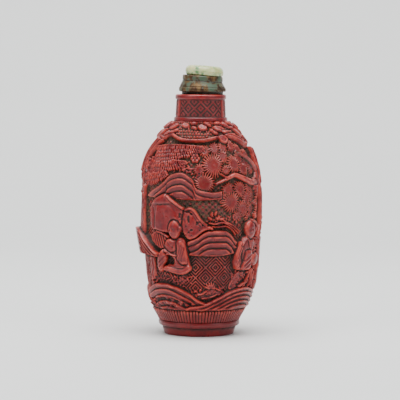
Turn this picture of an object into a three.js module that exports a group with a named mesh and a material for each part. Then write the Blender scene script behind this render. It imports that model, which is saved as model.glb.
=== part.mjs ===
import * as THREE from 'three';

// A snuff bottle of carved red lacquer, with a metal stopper that a jade cap tops.
// Millimetres, +Z up. The front faces -Y, +X is to its right, and the origin is the middle of the underside.
// A place on the carved body is a pair [u, v]. u is the way round the girth from the middle of the front
// towards the right, and v is the height of the smooth ground that the carving stands on.

// The bottle
const GIRTH_RADIUS = 16.1;
const GIRTH_Z = 36;
const CARVED_FROM = 8.4;
const CARVED_TO = 61.5;
const LOWER_DRAW_IN = { depth: 2.7, power: 2.6 };
const UPPER_DRAW_IN = { depth: 8.4, power: 2.93 };
const UNDERSIDE = [[7.8, 1.2], [8.5, 0.9], [8.7, 0], [10, 0]];
const FOOT_SIDE = [[10.25, 0.5], [10.85, 2.45], [11.5, 2.65], [11.8, 3.15], [11.8, 3.8], [11.5, 4.25]];
const RECESS_MIDDLE_Z = 1.3;
const FLUTES = { count: 92, depth: 0.42, foot: [11.35, 4.35], from: [11.95, 4.75], to: [13.8, 7.9], top: [13.6, 8.3] };
const NECK_RING = [[7.7, 61.8], [7.75, 62.9], [7.5, 63.3]];
const NECK_FIELD = { from: [7.3, 63.4], to: [7, 68.15], bars: 3, barHalfAngle: 0.08, barHeight: 0.25 };
const LIP = [[7.2, 68.3], [7.3, 68.7], [7.2, 69.4], [6.9, 69.7], [4.4, 69.7]];
const WALL = 2.8;
const BORE = { radius: 4, from: 68.7, to: 58.5 };
const FLOOR = { z: 4.6, radius: 7.2, side: [9.4, 6.2] };
const CAVITY_LEVELS = [54, 48, 42, 36, 30, 24, 18, 12];

// The stopper
const LIP_Z = 69.7;
const SEAT_GAP = 0.02;
const COLLAR_OFFSET = 0.5;
const PLUG = [[2.8, 66.7], [3, 67]];
const PLUG_TOP_RADIUS = 3.1;
const COLLAR = [
  [6, 69.72], [6.05, 70.4], [6.6, 70.55], [6.8, 70.9], [6.8, 71.5], [6.55, 72],
  [5.9, 73.4], [5.75, 73.6], [5.85, 74.9], [5.65, 75.1],
];
const COLLAR_TOP_Z = 75.1;
const TILT = { from: 70, to: 73.5, slope: 0.06 };
const JADE_OFFSET = 0.95;
const JADE = [[5.2, 75.12], [5.5, 75.5], [5.6, 76.2], [5.5, 76.9], [5.1, 77.5], [4.4, 77.9], [2.6, 78.1]];
const JADE_TOP_Z = 78.15;

// The carving
const LAYER_DEPTH = 0.7;
const WHEEL_BOSS = { share: 0.25, rise: 0.3 };
const BACK_LOBES = { count: 10, from: 28.5, pitch: 4.85, lowV: 57.4, highV: 59.4 };

// How finely the surfaces are cut
const TILE_CELLS = 64;
const TILES = 2;
const CARVING_TOLERANCE = 0.19;
const CUTTER_WIDTH = 0.4;
const SIDES_FROM = 24;
const SIDES_TO = 32;
const CARE_AT_BACK = 0.4;
const CARVED_EDGE = 0.9;
const CURVE_STEPS = 4;
const SLOPE_STEP = 0.01;
const ROUND_SEGMENTS = 36;
const STOPPER_SEGMENTS = 32;
const INSIDE_SEGMENTS = 20;

const CIRCUMFERENCE = 2 * Math.PI * GIRTH_RADIUS;

function groundRadius(v) {
  const below = Math.max(0, GIRTH_Z - v) / (GIRTH_Z - CARVED_FROM);
  const above = Math.max(0, v - GIRTH_Z) / (CARVED_TO - GIRTH_Z);
  const lower = LOWER_DRAW_IN.depth * below ** LOWER_DRAW_IN.power;
  const upper = UPPER_DRAW_IN.depth * above ** UPPER_DRAW_IN.power;
  return GIRTH_RADIUS - lower - upper;
}

// The point that stands a height above the ground at [u, v], square to the ground.
function carvedPoint(u, v, height) {
  const slope = (groundRadius(v + SLOPE_STEP) - groundRadius(v - SLOPE_STEP)) / (2 * SLOPE_STEP);
  const steepness = Math.hypot(1, slope);
  return { angle: u / GIRTH_RADIUS, radius: groundRadius(v) + height / steepness, z: v - (slope * height) / steepness };
}

// ---- Shapes of the carving. Each gives a height above the ground at [u, v], and 0 outside its own outline.

function bounded(points, margin, heightAt) {
  const us = points.map(([u]) => u);
  const vs = points.map(([, v]) => v);
  const middle = (Math.min(...us) + Math.max(...us)) / 2;
  const reach = (Math.max(...us) - Math.min(...us)) / 2 + margin;
  const bottom = Math.min(...vs) - margin;
  const top = Math.max(...vs) + margin;
  return (u, v) => {
    const turns = Math.round((u - middle) / CIRCUMFERENCE);
    const nearU = u - turns * CIRCUMFERENCE;
    const inside = Math.abs(nearU - middle) < reach && v > bottom && v < top;
    return inside ? Math.max(0, heightAt(nearU, v)) : 0;
  };
}

// A round shoulder that rises from 0 at the edge to 1 where it is one edge width inside.
function shoulder(distance, width = CARVED_EDGE) {
  const inwards = THREE.MathUtils.clamp(distance / width, 0, 1);
  return Math.sqrt(1 - (1 - inwards) ** 2);
}

function openCurve(points) {
  const curve = new THREE.SplineCurve(points.map(([u, v]) => new THREE.Vector2(u, v)));
  return curve.getPoints(points.length * CURVE_STEPS).map(({ x, y }) => [x, y]);
}

function closedCurve(points) {
  const curve = new THREE.CatmullRomCurve3(points.map(([u, v]) => new THREE.Vector3(u, v, 0)), true);
  return curve.getPoints(points.length * CURVE_STEPS).map(({ x, y }) => [x, y]);
}

function alongCurve(curve, u) {
  const next = Math.max(1, curve.findIndex(([end]) => end >= u));
  const [u0, v0] = curve[next - 1];
  const [u1, v1] = curve[next];
  return v0 + ((v1 - v0) * (u - u0)) / (u1 - u0);
}

function nearestOnPath(path, u, v) {
  let best = { distance: Infinity, share: 0 };
  for (let i = 1; i < path.length; i += 1) {
    const [u0, v0] = path[i - 1];
    const [du, dv] = [path[i][0] - u0, path[i][1] - v0];
    const along = THREE.MathUtils.clamp(((u - u0) * du + (v - v0) * dv) / (du * du + dv * dv), 0, 1);
    const distance = Math.hypot(u - u0 - along * du, v - v0 - along * dv);
    if (distance < best.distance) {
      best = { distance, share: (i - 1 + along) / (path.length - 1) };
    }
  }
  return best;
}

function isInside(outline, u, v) {
  let inside = false;
  for (let i = 0, j = outline.length - 1; i < outline.length; j = i, i += 1) {
    const [u0, v0] = outline[i];
    const [u1, v1] = outline[j];
    if (v0 > v !== v1 > v && u < ((u1 - u0) * (v - v0)) / (v1 - v0) + u0) {
      inside = !inside;
    }
  }
  return inside;
}

function dome(u, v, halfWidth, halfHeight, height, { turn = 0, flatness = 1 } = {}) {
  const reach = Math.max(halfWidth, halfHeight);
  const [cos, sin] = [Math.cos(turn), Math.sin(turn)];
  return bounded([[u, v]], reach, (nearU, nearV) => {
    const [du, dv] = [nearU - u, nearV - v];
    const away = Math.hypot((du * cos + dv * sin) / halfWidth, (dv * cos - du * sin) / halfHeight);
    return away < 1 ? height * Math.sqrt(1 - away ** (2 * flatness)) : 0;
  });
}

function stroke(points, startWidth, endWidth, height) {
  const path = openCurve(points);
  return bounded(path, Math.max(startWidth, endWidth), (u, v) => {
    const { distance, share } = nearestOnPath(path, u, v);
    const halfWidth = THREE.MathUtils.lerp(startWidth, endWidth, share) / 2;
    return distance < halfWidth ? height * shoulder(halfWidth - distance, halfWidth) : 0;
  });
}

function plate(points, height, edge = CARVED_EDGE) {
  const outline = closedCurve(points);
  return bounded(outline, 0, (u, v) => {
    return isInside(outline, u, v) ? height * shoulder(nearestOnPath(outline, u, v).distance, edge) : 0;
  });
}

// A hill fills the room between its crest and its foot, and falls away from a raised rim along the crest.
// It may lie in layers, a pitch apart, each with an edge of its own.
function hill(crestPoints, footPoints, height, { fall = 0.4, pitch = Infinity } = {}) {
  const crest = openCurve(crestPoints);
  const foot = openCurve(footPoints);
  const [left, right] = [Math.max(crest[0][0], foot[0][0]), Math.min(crest.at(-1)[0], foot.at(-1)[0])];
  return bounded([...crest, ...foot], 0, (u, v) => {
    if (u <= left || u >= right) {
      return 0;
    }
    const crestV = alongCurve(crest, u);
    const footV = alongCurve(foot, u);
    if (v >= crestV || v <= footV) {
      return 0;
    }
    const down = crestV - v;
    const layer = LAYER_DEPTH * ((down / pitch) % 1);
    const slope = height * (1 - (fall * down) / (crestV - footV)) - layer;
    return slope * shoulder(Math.min(down, v - footV, u - left, right - u));
  });
}

// A wheel of pine needles: a shallow disc with a boss in its middle.
function needleWheel(u, v, radius, height = 0.8) {
  const { share, rise } = WHEEL_BOSS;
  return [
    dome(u, v, radius, radius, height, { flatness: 2 }),
    dome(u, v, radius * share, radius * share, height + rise),
  ];
}

// ---- The carved landscape

const lobe = (u, v, halfWidth, halfHeight, degrees = 0, height = 1.45) => {
  return dome(u, v, halfWidth, halfHeight, height, { turn: THREE.MathUtils.degToRad(degrees), flatness: 2 });
};

function canopy() {
  const top = [[-51, 61], [51, 61]];
  const rim = [
    [-51, 56.2], [-45, 55.4], [-40, 56.6], [-34, 54.6], [-29, 54.6], [-24, 53.4], [-18.6, 54.8], [-16, 56.4],
    [-13.6, 57.9], [-11.4, 57.6], [-9.5, 56.7], [-6.6, 56.1], [-2, 55.9], [4.4, 56.4], [10.4, 57.4], [14, 56.6],
    [20, 55], [25, 53.6], [28, 53.6], [33, 55.4], [39, 55], [45, 56.5], [51, 56.2],
  ];
  const lobes = [
    [-24.6, 53.6, 2.6, 1, 52], [-22.2, 56, 2.4, 1.1, 42], [-20, 58.2, 2.5, 1.1, 25], [-16.4, 57.6, 2.4, 0.85, 30],
    [-14.4, 59.9, 2.5, 0.9, 12], [-7.6, 60.2, 2.2, 0.8, -6], [-3, 59.8, 2, 0.7, -8], [1, 59.8, 2.3, 0.95, -4],
    [8.8, 59.4, 3, 0.9, -8], [13.6, 60.3, 2.6, 0.8, -14], [18.4, 58.6, 3, 1, -28], [22.6, 59.2, 2.5, 1.1, -24],
    [24.4, 56.4, 2.4, 1.2, -34], [8.8, 56.5, 1.9, 1, 0], [17, 56.3, 5.2, 0.9, -17], [20.6, 55, 1.7, 0.8, 0, 1.7],
  ];
  const backLobes = [];
  for (let i = 0; i < BACK_LOBES.count; i += 1) {
    backLobes.push([BACK_LOBES.from + i * BACK_LOBES.pitch, i % 2 ? BACK_LOBES.lowV : BACK_LOBES.highV, 2.6, 1.4]);
  }
  return [
    hill(top, rim, 1, { fall: -0.25 }),
    stroke([[-12.4, 57.8], [-8, 56.5], [-1, 56.2], [6.8, 57.1]], 0.95, 0.9, 1.65),
    stroke([[-17.4, 56.4], [-20.4, 53.6], [-22.8, 50.4], [-23.6, 47]], 2.6, 2, 2),
    ...[...lobes, ...backLobes].map((numbers) => lobe(...numbers)),
  ];
}

// Hanging foliage, in rows below the canopy.
function foliage() {
  const hanging = { fall: -0.1 };
  return [
    hill([[-17, 54.4], [-11, 54.9], [-5, 54.9], [0.8, 54.6]], [[-17, 51.2], [-11, 51.6], [-5, 52.4], [0.8, 53.6]], 1, hanging),
    hill([[-18.6, 51.2], [-13, 51.2], [-4.6, 50.7]], [[-18.6, 48.2], [-12, 48.8], [-4.6, 49.9]], 0.95, hanging),
    hill([[-21, 47.4], [-16.6, 48.2], [-10.6, 47.6]], [[-21, 44.6], [-16.7, 44.8], [-10.6, 46.2]], 0.95, hanging),
    hill([[-32, 47.5], [-27, 50.6], [-20, 50.4]], [[-32, 41.5], [-26, 41.5], [-20, 45]], 2.1, hanging),
    hill([[37, 51], [44, 52.4], [51, 51]], [[37, 48.6], [44, 49.6], [51, 48.8]], 0.95, hanging),
    hill([[-50.5, 53.4], [-44, 53.6], [-37, 51.6]], [[-50.5, 50.8], [-44, 51.2], [-37, 49.2]], 0.95, hanging),
    dome(-1.6, 51.5, 1.6, 1.4, 0.95),
  ];
}

function trees() {
  const wheels = [
    [3.9, 49.6, 3.4], [1.2, 44.5, 3.1], [9, 39.3, 3], [10.9, 49.8, 2.5], [12.3, 43, 2.3], [8.2, 42.9, 2], [14.6, 48.4, 2.1],
    [13.2, 37.4, 2.4], [16.6, 41.6, 2.2], [4.8, 54.2, 1.9], [11.6, 54.8, 1.9], [29.5, 49.5, 2.4], [34, 46.8, 2.8],
    [39.5, 44.2, 2.8], [44.5, 46.6, 2.6], [49.6, 44, 2.9], [-46, 46.2, 2.7], [-34.5, 49.6, 2.4], [-33, 44.6, 2.2],
  ];
  return [
    stroke([[-21.5, 26.5], [-20.6, 31], [-19.6, 38], [-20.6, 45], [-22.6, 50]], 7.4, 3.6, 1.5),
    stroke([[-15.6, 12], [-15.7, 19], [-15.2, 25]], 5.2, 4.2, 1),
    stroke([[23, 28], [22.2, 36], [23.4, 43], [24.4, 48], [24.6, 53.6]], 7.4, 3.6, 2.2),
    stroke([[20, 44.4], [22.2, 47.4], [20.6, 49.4], [17.3, 51.4], [14, 52.6]], 2.4, 1, 1.6),
    stroke([[20, 44.4], [17.7, 44.5], [13, 46.1], [9.8, 46.7], [6.4, 45.3], [4.4, 44.4]], 2.3, 0.8, 1.5),
    stroke([[14.6, 14.6], [16.2, 17.2], [17.6, 19.6]], 1.6, 1.6, 1.3),
    stroke([[-41, 12], [-38, 22], [-42, 32], [-37, 42], [-40, 52]], 4.6, 2.8, 1.6),
    stroke([[-39.5, 36], [-45, 39.5], [-49, 41]], 2, 0.9, 1.2),
    stroke([[24, 43], [31, 42.4], [38, 40], [44, 38.4]], 2.2, 0.8, 1.35),
    stroke([[2.6, 33.2], [5, 34.6], [8.2, 33.2], [11.6, 30.4]], 0.9, 0.9, 1),
    ...wheels.flatMap(([u, v, radius]) => needleWheel(u, v, radius)),
  ];
}

function hills() {
  return [
    hill(
      [
        [-17.2, 40.8], [-14.5, 42.5], [-12.2, 43.8], [-9.2, 46.4], [-7.6, 47.2], [-5.6, 47.5], [-3.2, 46.4], [-1.2, 43.4],
        [1.8, 42.3], [6.2, 42.5],
      ],
      [[-17.2, 40.2], [-7, 40.1], [0, 39.8], [6.2, 40.2]],
      1.6,
      { pitch: 3.7 },
    ),
    hill(
      [[-3.4, 28], [-1.4, 28.9], [0.7, 30.4], [3, 31.25], [6.9, 31.2], [9.1, 29.8], [10.9, 28]],
      [[-3.4, 24.2], [0, 24], [6, 24], [10.9, 24.6]],
      1.7,
      { pitch: 3.5 },
    ),
    hill(
      [[-34, 27.6], [-30, 30], [-26, 30.8], [-22.6, 30.8], [-20, 30.2], [-17.6, 28.4], [-15.4, 26.8], [-11.8, 24.4]],
      [[-34, 24], [-26, 23.9], [-20.4, 23.8], [-11.8, 23.4]],
      2.7,
      { fall: 0.35 },
    ),
    hill(
      [[18.6, 28], [20.4, 31], [22.4, 33.6], [25, 34.6], [29, 34], [33, 31.6], [38, 28.6]],
      [[18.6, 26.6], [27, 25.8], [38, 26.2]],
      2.2,
    ),
    hill([[33, 30], [39, 36.5], [45, 39], [51, 36.5], [58, 30.6]], [[33, 28], [45, 29.5], [58, 28]], 1.55),
    hill([[38, 22], [45, 27], [52, 28.5], [60, 25.4], [67, 19.6]], [[38, 19.4], [52, 20], [67, 18.2]], 1.8),
  ];
}

function mounds() {
  return [
    hill(
      [[-20, 13.2], [-15, 15.5], [-12, 15.9], [-9.4, 15.7], [-5.6, 14.5], [-1, 11.9], [3, 10.2]],
      [[-20, 8.3], [3, 8.3]],
      1.4,
    ),
    hill(
      [[-4.6, 8.8], [-0.6, 9.8], [3.6, 11.1], [8, 13.1], [12.2, 14.5], [14.4, 14.8], [20, 14], [25, 12.4]],
      [[-4.6, 8.3], [25, 8.3]],
      1.55,
    ),
    hill([[22, 11.6], [28, 14.6], [34, 15.4], [42, 12]], [[22, 8.3], [42, 8.3]], 1),
    hill([[39, 10.4], [46, 13.6], [53, 14.8], [60, 11.4]], [[39, 8.3], [60, 8.3]], 1.4),
    hill([[-44, 12.4], [-37, 14.8], [-29, 14.4], [-22, 12], [-17.4, 10]], [[-44, 8.3], [-17.4, 8.3]], 0.85),
  ];
}

function rocks() {
  return [
    plate(
      [
        [-9.6, 41.5], [-7.4, 39.6], [-4.3, 37.5], [-4.6, 33.6], [-5.2, 31.4], [-9.5, 30.7], [-13.4, 31], [-15.2, 31.8],
        [-15.6, 35], [-15.4, 37.8], [-14.2, 39.7], [-12.2, 40.9],
      ],
      1.6,
      0.7,
    ),
    plate(
      [
        [-4.3, 37.2], [-3.2, 37.8], [-1.2, 37.1], [0.2, 34.8], [1.2, 33.7], [3.8, 31.6], [1.6, 31.3], [-1.4, 28.9],
        [-3, 28.7], [-4.3, 30.2], [-5, 32.4],
      ],
      1.45,
      0.8,
    ),
    plate([[-51, 30], [-48.6, 34.4], [-45.5, 36.4], [-43.4, 32], [-43.8, 26.6], [-48, 26]], 1.5, 0.8),
    plate([[21.4, 27.6], [25, 29], [29, 26.6], [30.4, 20], [29, 14.4], [24.6, 13], [21.6, 16], [22, 22]], 1.8, 0.9),
  ];
}

// A figure is modelled from its head, its robe, its arms and its knees.
function leftFigure() {
  return [
    dome(-6.95, 31.5, 1.75, 2.75, 2.35),
    plate(
      [
        [-9.4, 28.6], [-7.6, 29], [-4.5, 29], [-3.2, 26], [-2.7, 22.2], [-2.35, 20.9], [-3, 19.5], [-6, 18.6], [-9.4, 19.7],
        [-9.7, 20.7], [-7.4, 21.7], [-7.2, 23], [-9.6, 25.4],
      ],
      1.6,
      0.8,
    ),
    dome(-7.8, 27, 1.8, 2, 2, { flatness: 2 }),
    stroke([[-5, 28.2], [-4.2, 25.6], [-4.2, 22.6]], 2.6, 2.2, 2.3),
    stroke([[-9.4, 20.4], [-6, 19.8], [-3.4, 20.6]], 1.7, 2, 2.1),
    stroke([[-9.8, 25.6], [-8.4, 24.9], [-6.4, 24.2]], 1, 0.9, 2.15),
    plate([[-12.7, 20.4], [-12.6, 23.2], [-10.7, 25.8], [-9.4, 24.4], [-9.5, 22.4], [-10.9, 19.6], [-11.7, 19.2]], 1.9, 0.9),
    plate([[-15.2, 29.6], [-13.4, 30.8], [-11.6, 30.7], [-9, 29.5], [-9.2, 26.5], [-12.4, 26], [-14.6, 27.6]], 1.3),
  ];
}

function rightFigure() {
  return [
    dome(16.1, 31.2, 2.3, 2.75, 2.2),
    plate(
      [[13.8, 29.4], [12.3, 28], [10.2, 24.2], [9.8, 22.4], [11, 20], [13, 19.6], [16.2, 19.7], [17.4, 25], [18.2, 27.4], [17, 29.2]],
      1.6,
      0.8,
    ),
    stroke([[12.4, 27.6], [11.3, 25.2], [10.8, 23.2], [10.9, 21.4]], 1.9, 1.6, 2.2),
    plate([[13.6, 25.2], [15.2, 25.6], [16.6, 25], [16.3, 20.1], [14.4, 19.6], [12.2, 20.6], [13.1, 22.8]], 2.1, 0.7),
    dome(19.4, 22.6, 2.3, 2.15, 1.95, { flatness: 1.4 }),
  ];
}

const CARVING = [
  ...canopy(), ...foliage(), ...trees(), ...hills(), ...mounds(), ...rocks(), ...leftFigure(), ...rightFigure(),
];

const sharpHeight = (u, v) => Math.max(...CARVING.map((shape) => shape(u, v)));

// The cutter rounds the carving off: a height is the mean of the heights across its width.
function carvedHeight(u, v) {
  const offsets = [-CUTTER_WIDTH, 0, CUTTER_WIDTH];
  const heights = offsets.flatMap((du) => offsets.map((dv) => sharpHeight(u + du, v + dv)));
  return heights.reduce((sum, height) => sum + height, 0) / heights.length;
}

// ---- A closed skin, built ring by ring from the middle of the underside to the last ring inside.

class Skin {
  constructor() {
    this.positions = [];
    this.faces = [];
  }

  vertex(angle, radius, z, shift = { x: 0, slope: 0 }) {
    const x = radius * Math.sin(angle);
    this.positions.push(x + shift.x, -radius * Math.cos(angle), z - shift.slope * x);
    return { angle, index: this.positions.length / 3 - 1 };
  }

  ring(count, at, shift) {
    const vertices = [];
    for (let i = 0; i < count; i += 1) {
      const angle = (2 * Math.PI * i) / count - Math.PI;
      const [radius, z] = at(angle, i);
      vertices.push(this.vertex(angle, radius, z, shift));
    }
    return vertices;
  }

  // Rings may have different numbers of vertices: the one whose next vertex comes first round moves on.
  join(from, to) {
    const angleOf = (ring, i) => ring[i % ring.length].angle + (i >= ring.length ? 2 * Math.PI : 0);
    let [i, j] = [0, 0];
    while (i < from.length || j < to.length) {
      const [start, end] = [from[i % from.length].index, to[j % to.length].index];
      if (j === to.length || (i < from.length && angleOf(from, i + 1) <= angleOf(to, j + 1))) {
        i += 1;
        this.faces.push(start, from[i % from.length].index, end);
      } else {
        j += 1;
        this.faces.push(start, to[j % to.length].index, end);
      }
    }
  }

  joinAll(rings) {
    for (let i = 1; i < rings.length; i += 1) {
      this.join(rings[i - 1], rings[i]);
    }
  }

  closeStart(middle, ring) {
    ring.forEach(({ index }, i) => this.faces.push(middle.index, ring[(i + 1) % ring.length].index, index));
  }

  closeEnd(ring, middle) {
    ring.forEach(({ index }, i) => this.faces.push(index, ring[(i + 1) % ring.length].index, middle.index));
  }

  mesh(name, material) {
    const geometry = new THREE.BufferGeometry();
    geometry.setAttribute('position', new THREE.Float32BufferAttribute(this.positions, 3));
    geometry.setIndex(this.faces);
    geometry.computeVertexNormals();
    const mesh = new THREE.Mesh(geometry, material);
    mesh.name = name;
    return mesh;
  }
}

// ---- The carved band. Right triangles halve where halving brings them closer to the carving.

const COLUMNS = TILES * TILE_CELLS;
const ROWS = TILE_CELLS;
const DEEPEST_SPLIT = 2 * Math.log2(TILE_CELLS) - 1;

const gridKey = ([column, row]) => row * COLUMNS + (column % COLUMNS);
const between = ([c0, r0], [c1, r1]) => [(c0 + c1) / 2, (r0 + r1) / 2];

function gridPoint([column, row]) {
  const u = (column / COLUMNS - 0.5) * CIRCUMFERENCE;
  const v = CARVED_FROM + ((CARVED_TO - CARVED_FROM) * row) / ROWS;
  return carvedPoint(u, v, carvedHeight(u, v));
}

function toVector({ angle, radius, z }) {
  return new THREE.Vector3(radius * Math.sin(angle), -radius * Math.cos(angle), z);
}

function tileHalves() {
  const halves = [];
  for (let tile = 0; tile < TILES; tile += 1) {
    const [left, right] = [tile * TILE_CELLS, (tile + 1) * TILE_CELLS];
    halves.push([[left, 0], [right, ROWS], [right, 0]], [[right, ROWS], [left, 0], [left, ROWS]]);
  }
  return halves;
}

// A triangle is [start, end, corner]: its longest side runs from start to end, and its corner is square.
function halve([start, end, corner]) {
  const middle = between(start, end);
  return [[corner, start, middle], [end, corner, middle]];
}

// The front is cut with more care than the back, which is seen less.
function careAt([column]) {
  const u = Math.abs((column % COLUMNS) / COLUMNS - 0.5) * CIRCUMFERENCE;
  return THREE.MathUtils.lerp(1, CARE_AT_BACK, THREE.MathUtils.smoothstep(u, SIDES_FROM, SIDES_TO));
}

// For each place on the grid, the furthest that the carving would be missed by if it weren't a vertex.
function splitErrors(points) {
  const levels = [tileHalves()];
  for (let depth = 1; depth <= DEEPEST_SPLIT; depth += 1) {
    levels.push(levels.at(-1).flatMap(halve));
  }
  const errors = new Map();
  for (const triangles of levels.reverse()) {
    for (const triangle of triangles) {
      const [start, end] = triangle;
      const middle = between(start, end);
      const key = gridKey(middle);
      const chord = points[gridKey(start)].clone().lerp(points[gridKey(end)], 0.5);
      const miss = careAt(middle) * chord.distanceTo(points[key]);
      const below = halve(triangle).map(([from, to]) => errors.get(gridKey(between(from, to))) ?? 0);
      errors.set(key, Math.max(errors.get(key) ?? 0, miss, ...below));
    }
  }
  return errors;
}

function addCarvedBand(skin) {
  const placed = [];
  for (let row = 0; row <= ROWS; row += 1) {
    for (let column = 0; column < COLUMNS; column += 1) {
      placed.push(gridPoint([column, row]));
    }
  }
  const errors = splitErrors(placed.map(toVector));
  const used = new Map();
  const vertexAt = (place) => {
    const key = gridKey(place);
    if (!used.has(key)) {
      const { angle, radius, z } = placed[key];
      used.set(key, { ...skin.vertex(angle, radius, z), row: place[1] });
    }
    return used.get(key).index;
  };
  const cut = (triangle, depth) => {
    const [start, end, corner] = triangle;
    if (depth <= DEEPEST_SPLIT && errors.get(gridKey(between(start, end))) > CARVING_TOLERANCE) {
      halve(triangle).forEach((half) => cut(half, depth + 1));
    } else {
      skin.faces.push(vertexAt(start), vertexAt(corner), vertexAt(end));
    }
  };
  tileHalves().forEach((triangle) => cut(triangle, 0));
  const ringAt = (row) => [...used.values()].filter((vertex) => vertex.row === row).sort((a, b) => a.angle - b.angle);
  return { bottom: ringAt(0), top: ringAt(ROWS) };
}

function fluteRing(skin, [radius, z]) {
  return skin.ring(2 * FLUTES.count, (angle, i) => [radius - (i % 2) * FLUTES.depth, z]);
}

function neckFieldRing(skin, [radius, z]) {
  return skin.ring(ROUND_SEGMENTS, (angle) => {
    const fromBar = Math.abs(THREE.MathUtils.euclideanModulo(angle * NECK_FIELD.bars, 2 * Math.PI) - Math.PI);
    const onBar = fromBar / NECK_FIELD.bars <= NECK_FIELD.barHalfAngle;
    return [onBar ? radius + NECK_FIELD.barHeight : radius, z];
  });
}

function cavityRadius(z) {
  return Math.max(BORE.radius, groundRadius(z) - WALL);
}

function bottle() {
  const skin = new Skin();
  const round = (pair) => skin.ring(ROUND_SEGMENTS, () => pair);
  const inside = (pair) => skin.ring(INSIDE_SEGMENTS, () => pair);
  const underside = [...UNDERSIDE, ...FOOT_SIDE, FLUTES.foot].map(round);
  skin.closeStart(skin.vertex(0, 0, RECESS_MIDDLE_Z), underside[0]);
  const flutes = [FLUTES.from, FLUTES.to].map((pair) => fluteRing(skin, pair));
  const fluteTop = skin.ring(FLUTES.count, () => FLUTES.top);
  const band = addCarvedBand(skin);
  const neck = [
    ...NECK_RING.map(round),
    neckFieldRing(skin, NECK_FIELD.from),
    neckFieldRing(skin, NECK_FIELD.to),
    ...LIP.map(round),
  ];
  const bore = [[BORE.radius, BORE.from], [BORE.radius, BORE.to]];
  const cavity = [...bore, ...CAVITY_LEVELS.map((z) => [cavityRadius(z), z]), FLOOR.side, [FLOOR.radius, FLOOR.z]];
  const insideRings = cavity.map(inside);
  skin.joinAll([...underside, ...flutes, fluteTop, band.bottom]);
  skin.joinAll([band.top, ...neck, ...insideRings]);
  skin.closeEnd(insideRings.at(-1), skin.vertex(0, 0, FLOOR.z));
  return skin.mesh('bottle', new THREE.MeshStandardMaterial({ color: 0x8e2f2b, roughness: 0.45, metalness: 0 }));
}

// The stopper leans a little to the right, more so towards its top, as it was put together by hand.
function leaning(x, z) {
  const share = THREE.MathUtils.smoothstep(z, TILT.from, TILT.to);
  return { x, slope: TILT.slope * share };
}

function collar() {
  const skin = new Skin();
  const ring = ([radius, z]) => skin.ring(STOPPER_SEGMENTS, () => [radius, z], leaning(COLLAR_OFFSET, z));
  const rings = [...PLUG, [PLUG_TOP_RADIUS, LIP_Z + SEAT_GAP], ...COLLAR].map(ring);
  skin.closeStart(skin.vertex(0, 0, PLUG[0][1], leaning(COLLAR_OFFSET, 0)), rings[0]);
  skin.joinAll(rings);
  skin.closeEnd(rings.at(-1), skin.vertex(0, 0, COLLAR_TOP_Z, leaning(COLLAR_OFFSET, COLLAR_TOP_Z)));
  return skin.mesh('collar', new THREE.MeshStandardMaterial({ color: 0x4f4a3a, roughness: 0.7, metalness: 0.6 }));
}

function jade() {
  const skin = new Skin();
  const lean = leaning(JADE_OFFSET, JADE_TOP_Z);
  const ring = ([radius, z]) => skin.ring(STOPPER_SEGMENTS, () => [radius, z], lean);
  const rings = JADE.map(ring);
  skin.closeStart(skin.vertex(0, 0, JADE[0][1], lean), rings[0]);
  skin.joinAll(rings);
  skin.closeEnd(rings.at(-1), skin.vertex(0, 0, JADE_TOP_Z, lean));
  return skin.mesh('jade_cap', new THREE.MeshStandardMaterial({ color: 0xcdd9b0, roughness: 0.2, metalness: 0 }));
}

const snuffBottle = new THREE.Group();
snuffBottle.add(bottle(), collar(), jade());

export default snuffBottle;
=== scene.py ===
import math

import bpy
import numpy as np
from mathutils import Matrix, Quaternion, Vector


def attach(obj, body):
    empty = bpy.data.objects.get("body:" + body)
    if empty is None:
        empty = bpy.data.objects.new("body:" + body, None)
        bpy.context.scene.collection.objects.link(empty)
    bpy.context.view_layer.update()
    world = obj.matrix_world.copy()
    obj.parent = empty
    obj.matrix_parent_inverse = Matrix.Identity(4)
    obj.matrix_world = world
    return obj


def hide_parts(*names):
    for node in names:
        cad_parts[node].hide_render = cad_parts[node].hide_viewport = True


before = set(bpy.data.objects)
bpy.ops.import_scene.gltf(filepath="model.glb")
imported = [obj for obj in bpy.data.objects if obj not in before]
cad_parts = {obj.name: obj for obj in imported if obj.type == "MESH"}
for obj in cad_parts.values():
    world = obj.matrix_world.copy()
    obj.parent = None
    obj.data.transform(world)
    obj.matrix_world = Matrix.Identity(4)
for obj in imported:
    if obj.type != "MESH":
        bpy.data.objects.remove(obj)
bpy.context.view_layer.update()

# A snuff bottle of carved red lacquer, 78 mm tall with its stopper. The sizes below are in millimetres.
# A place on the carved body is [u, v]: u runs round the girth from the middle of the front to the right,
# and v is the height of the smooth ground under the carving.
MM = 0.001
GIRTH_RADIUS = 16.1
GIRTH_Z = 36.0
BODY_FROM = 8.4
BAND_FROM = 4.45
BAND_TO = 61.5
LOWER_DEPTH, LOWER_POWER = 2.7, 2.6
UPPER_DEPTH, UPPER_POWER = 8.4, 2.93
FLUTE_GROUND_FROM = 11.45
FLUTES = 92
AROUND = 2 * math.pi * GIRTH_RADIUS
WALL = 2.8
BORE_RADIUS = 4.0

# The carving is worked out on a square grid of cells, and cut into triangles where it needs them.
TILES = 2
TILE_CELLS = 512
COLUMNS = TILES * TILE_CELLS
ROWS = TILE_CELLS
FINENESS = 0.018


def ground_radius(v):
    below = np.clip(GIRTH_Z - v, 0, GIRTH_Z - BODY_FROM) / (GIRTH_Z - BODY_FROM)
    above = np.clip(v - GIRTH_Z, 0, None) / (BAND_TO - GIRTH_Z)
    body = GIRTH_RADIUS - LOWER_DEPTH * below**LOWER_POWER - UPPER_DEPTH * above**UPPER_POWER
    body_foot = GIRTH_RADIUS - LOWER_DEPTH
    share = (v - BAND_FROM) / (BODY_FROM - BAND_FROM)
    flutes = FLUTE_GROUND_FROM + (body_foot - FLUTE_GROUND_FROM) * share
    return np.where(v < BODY_FROM, flutes, body)


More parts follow.
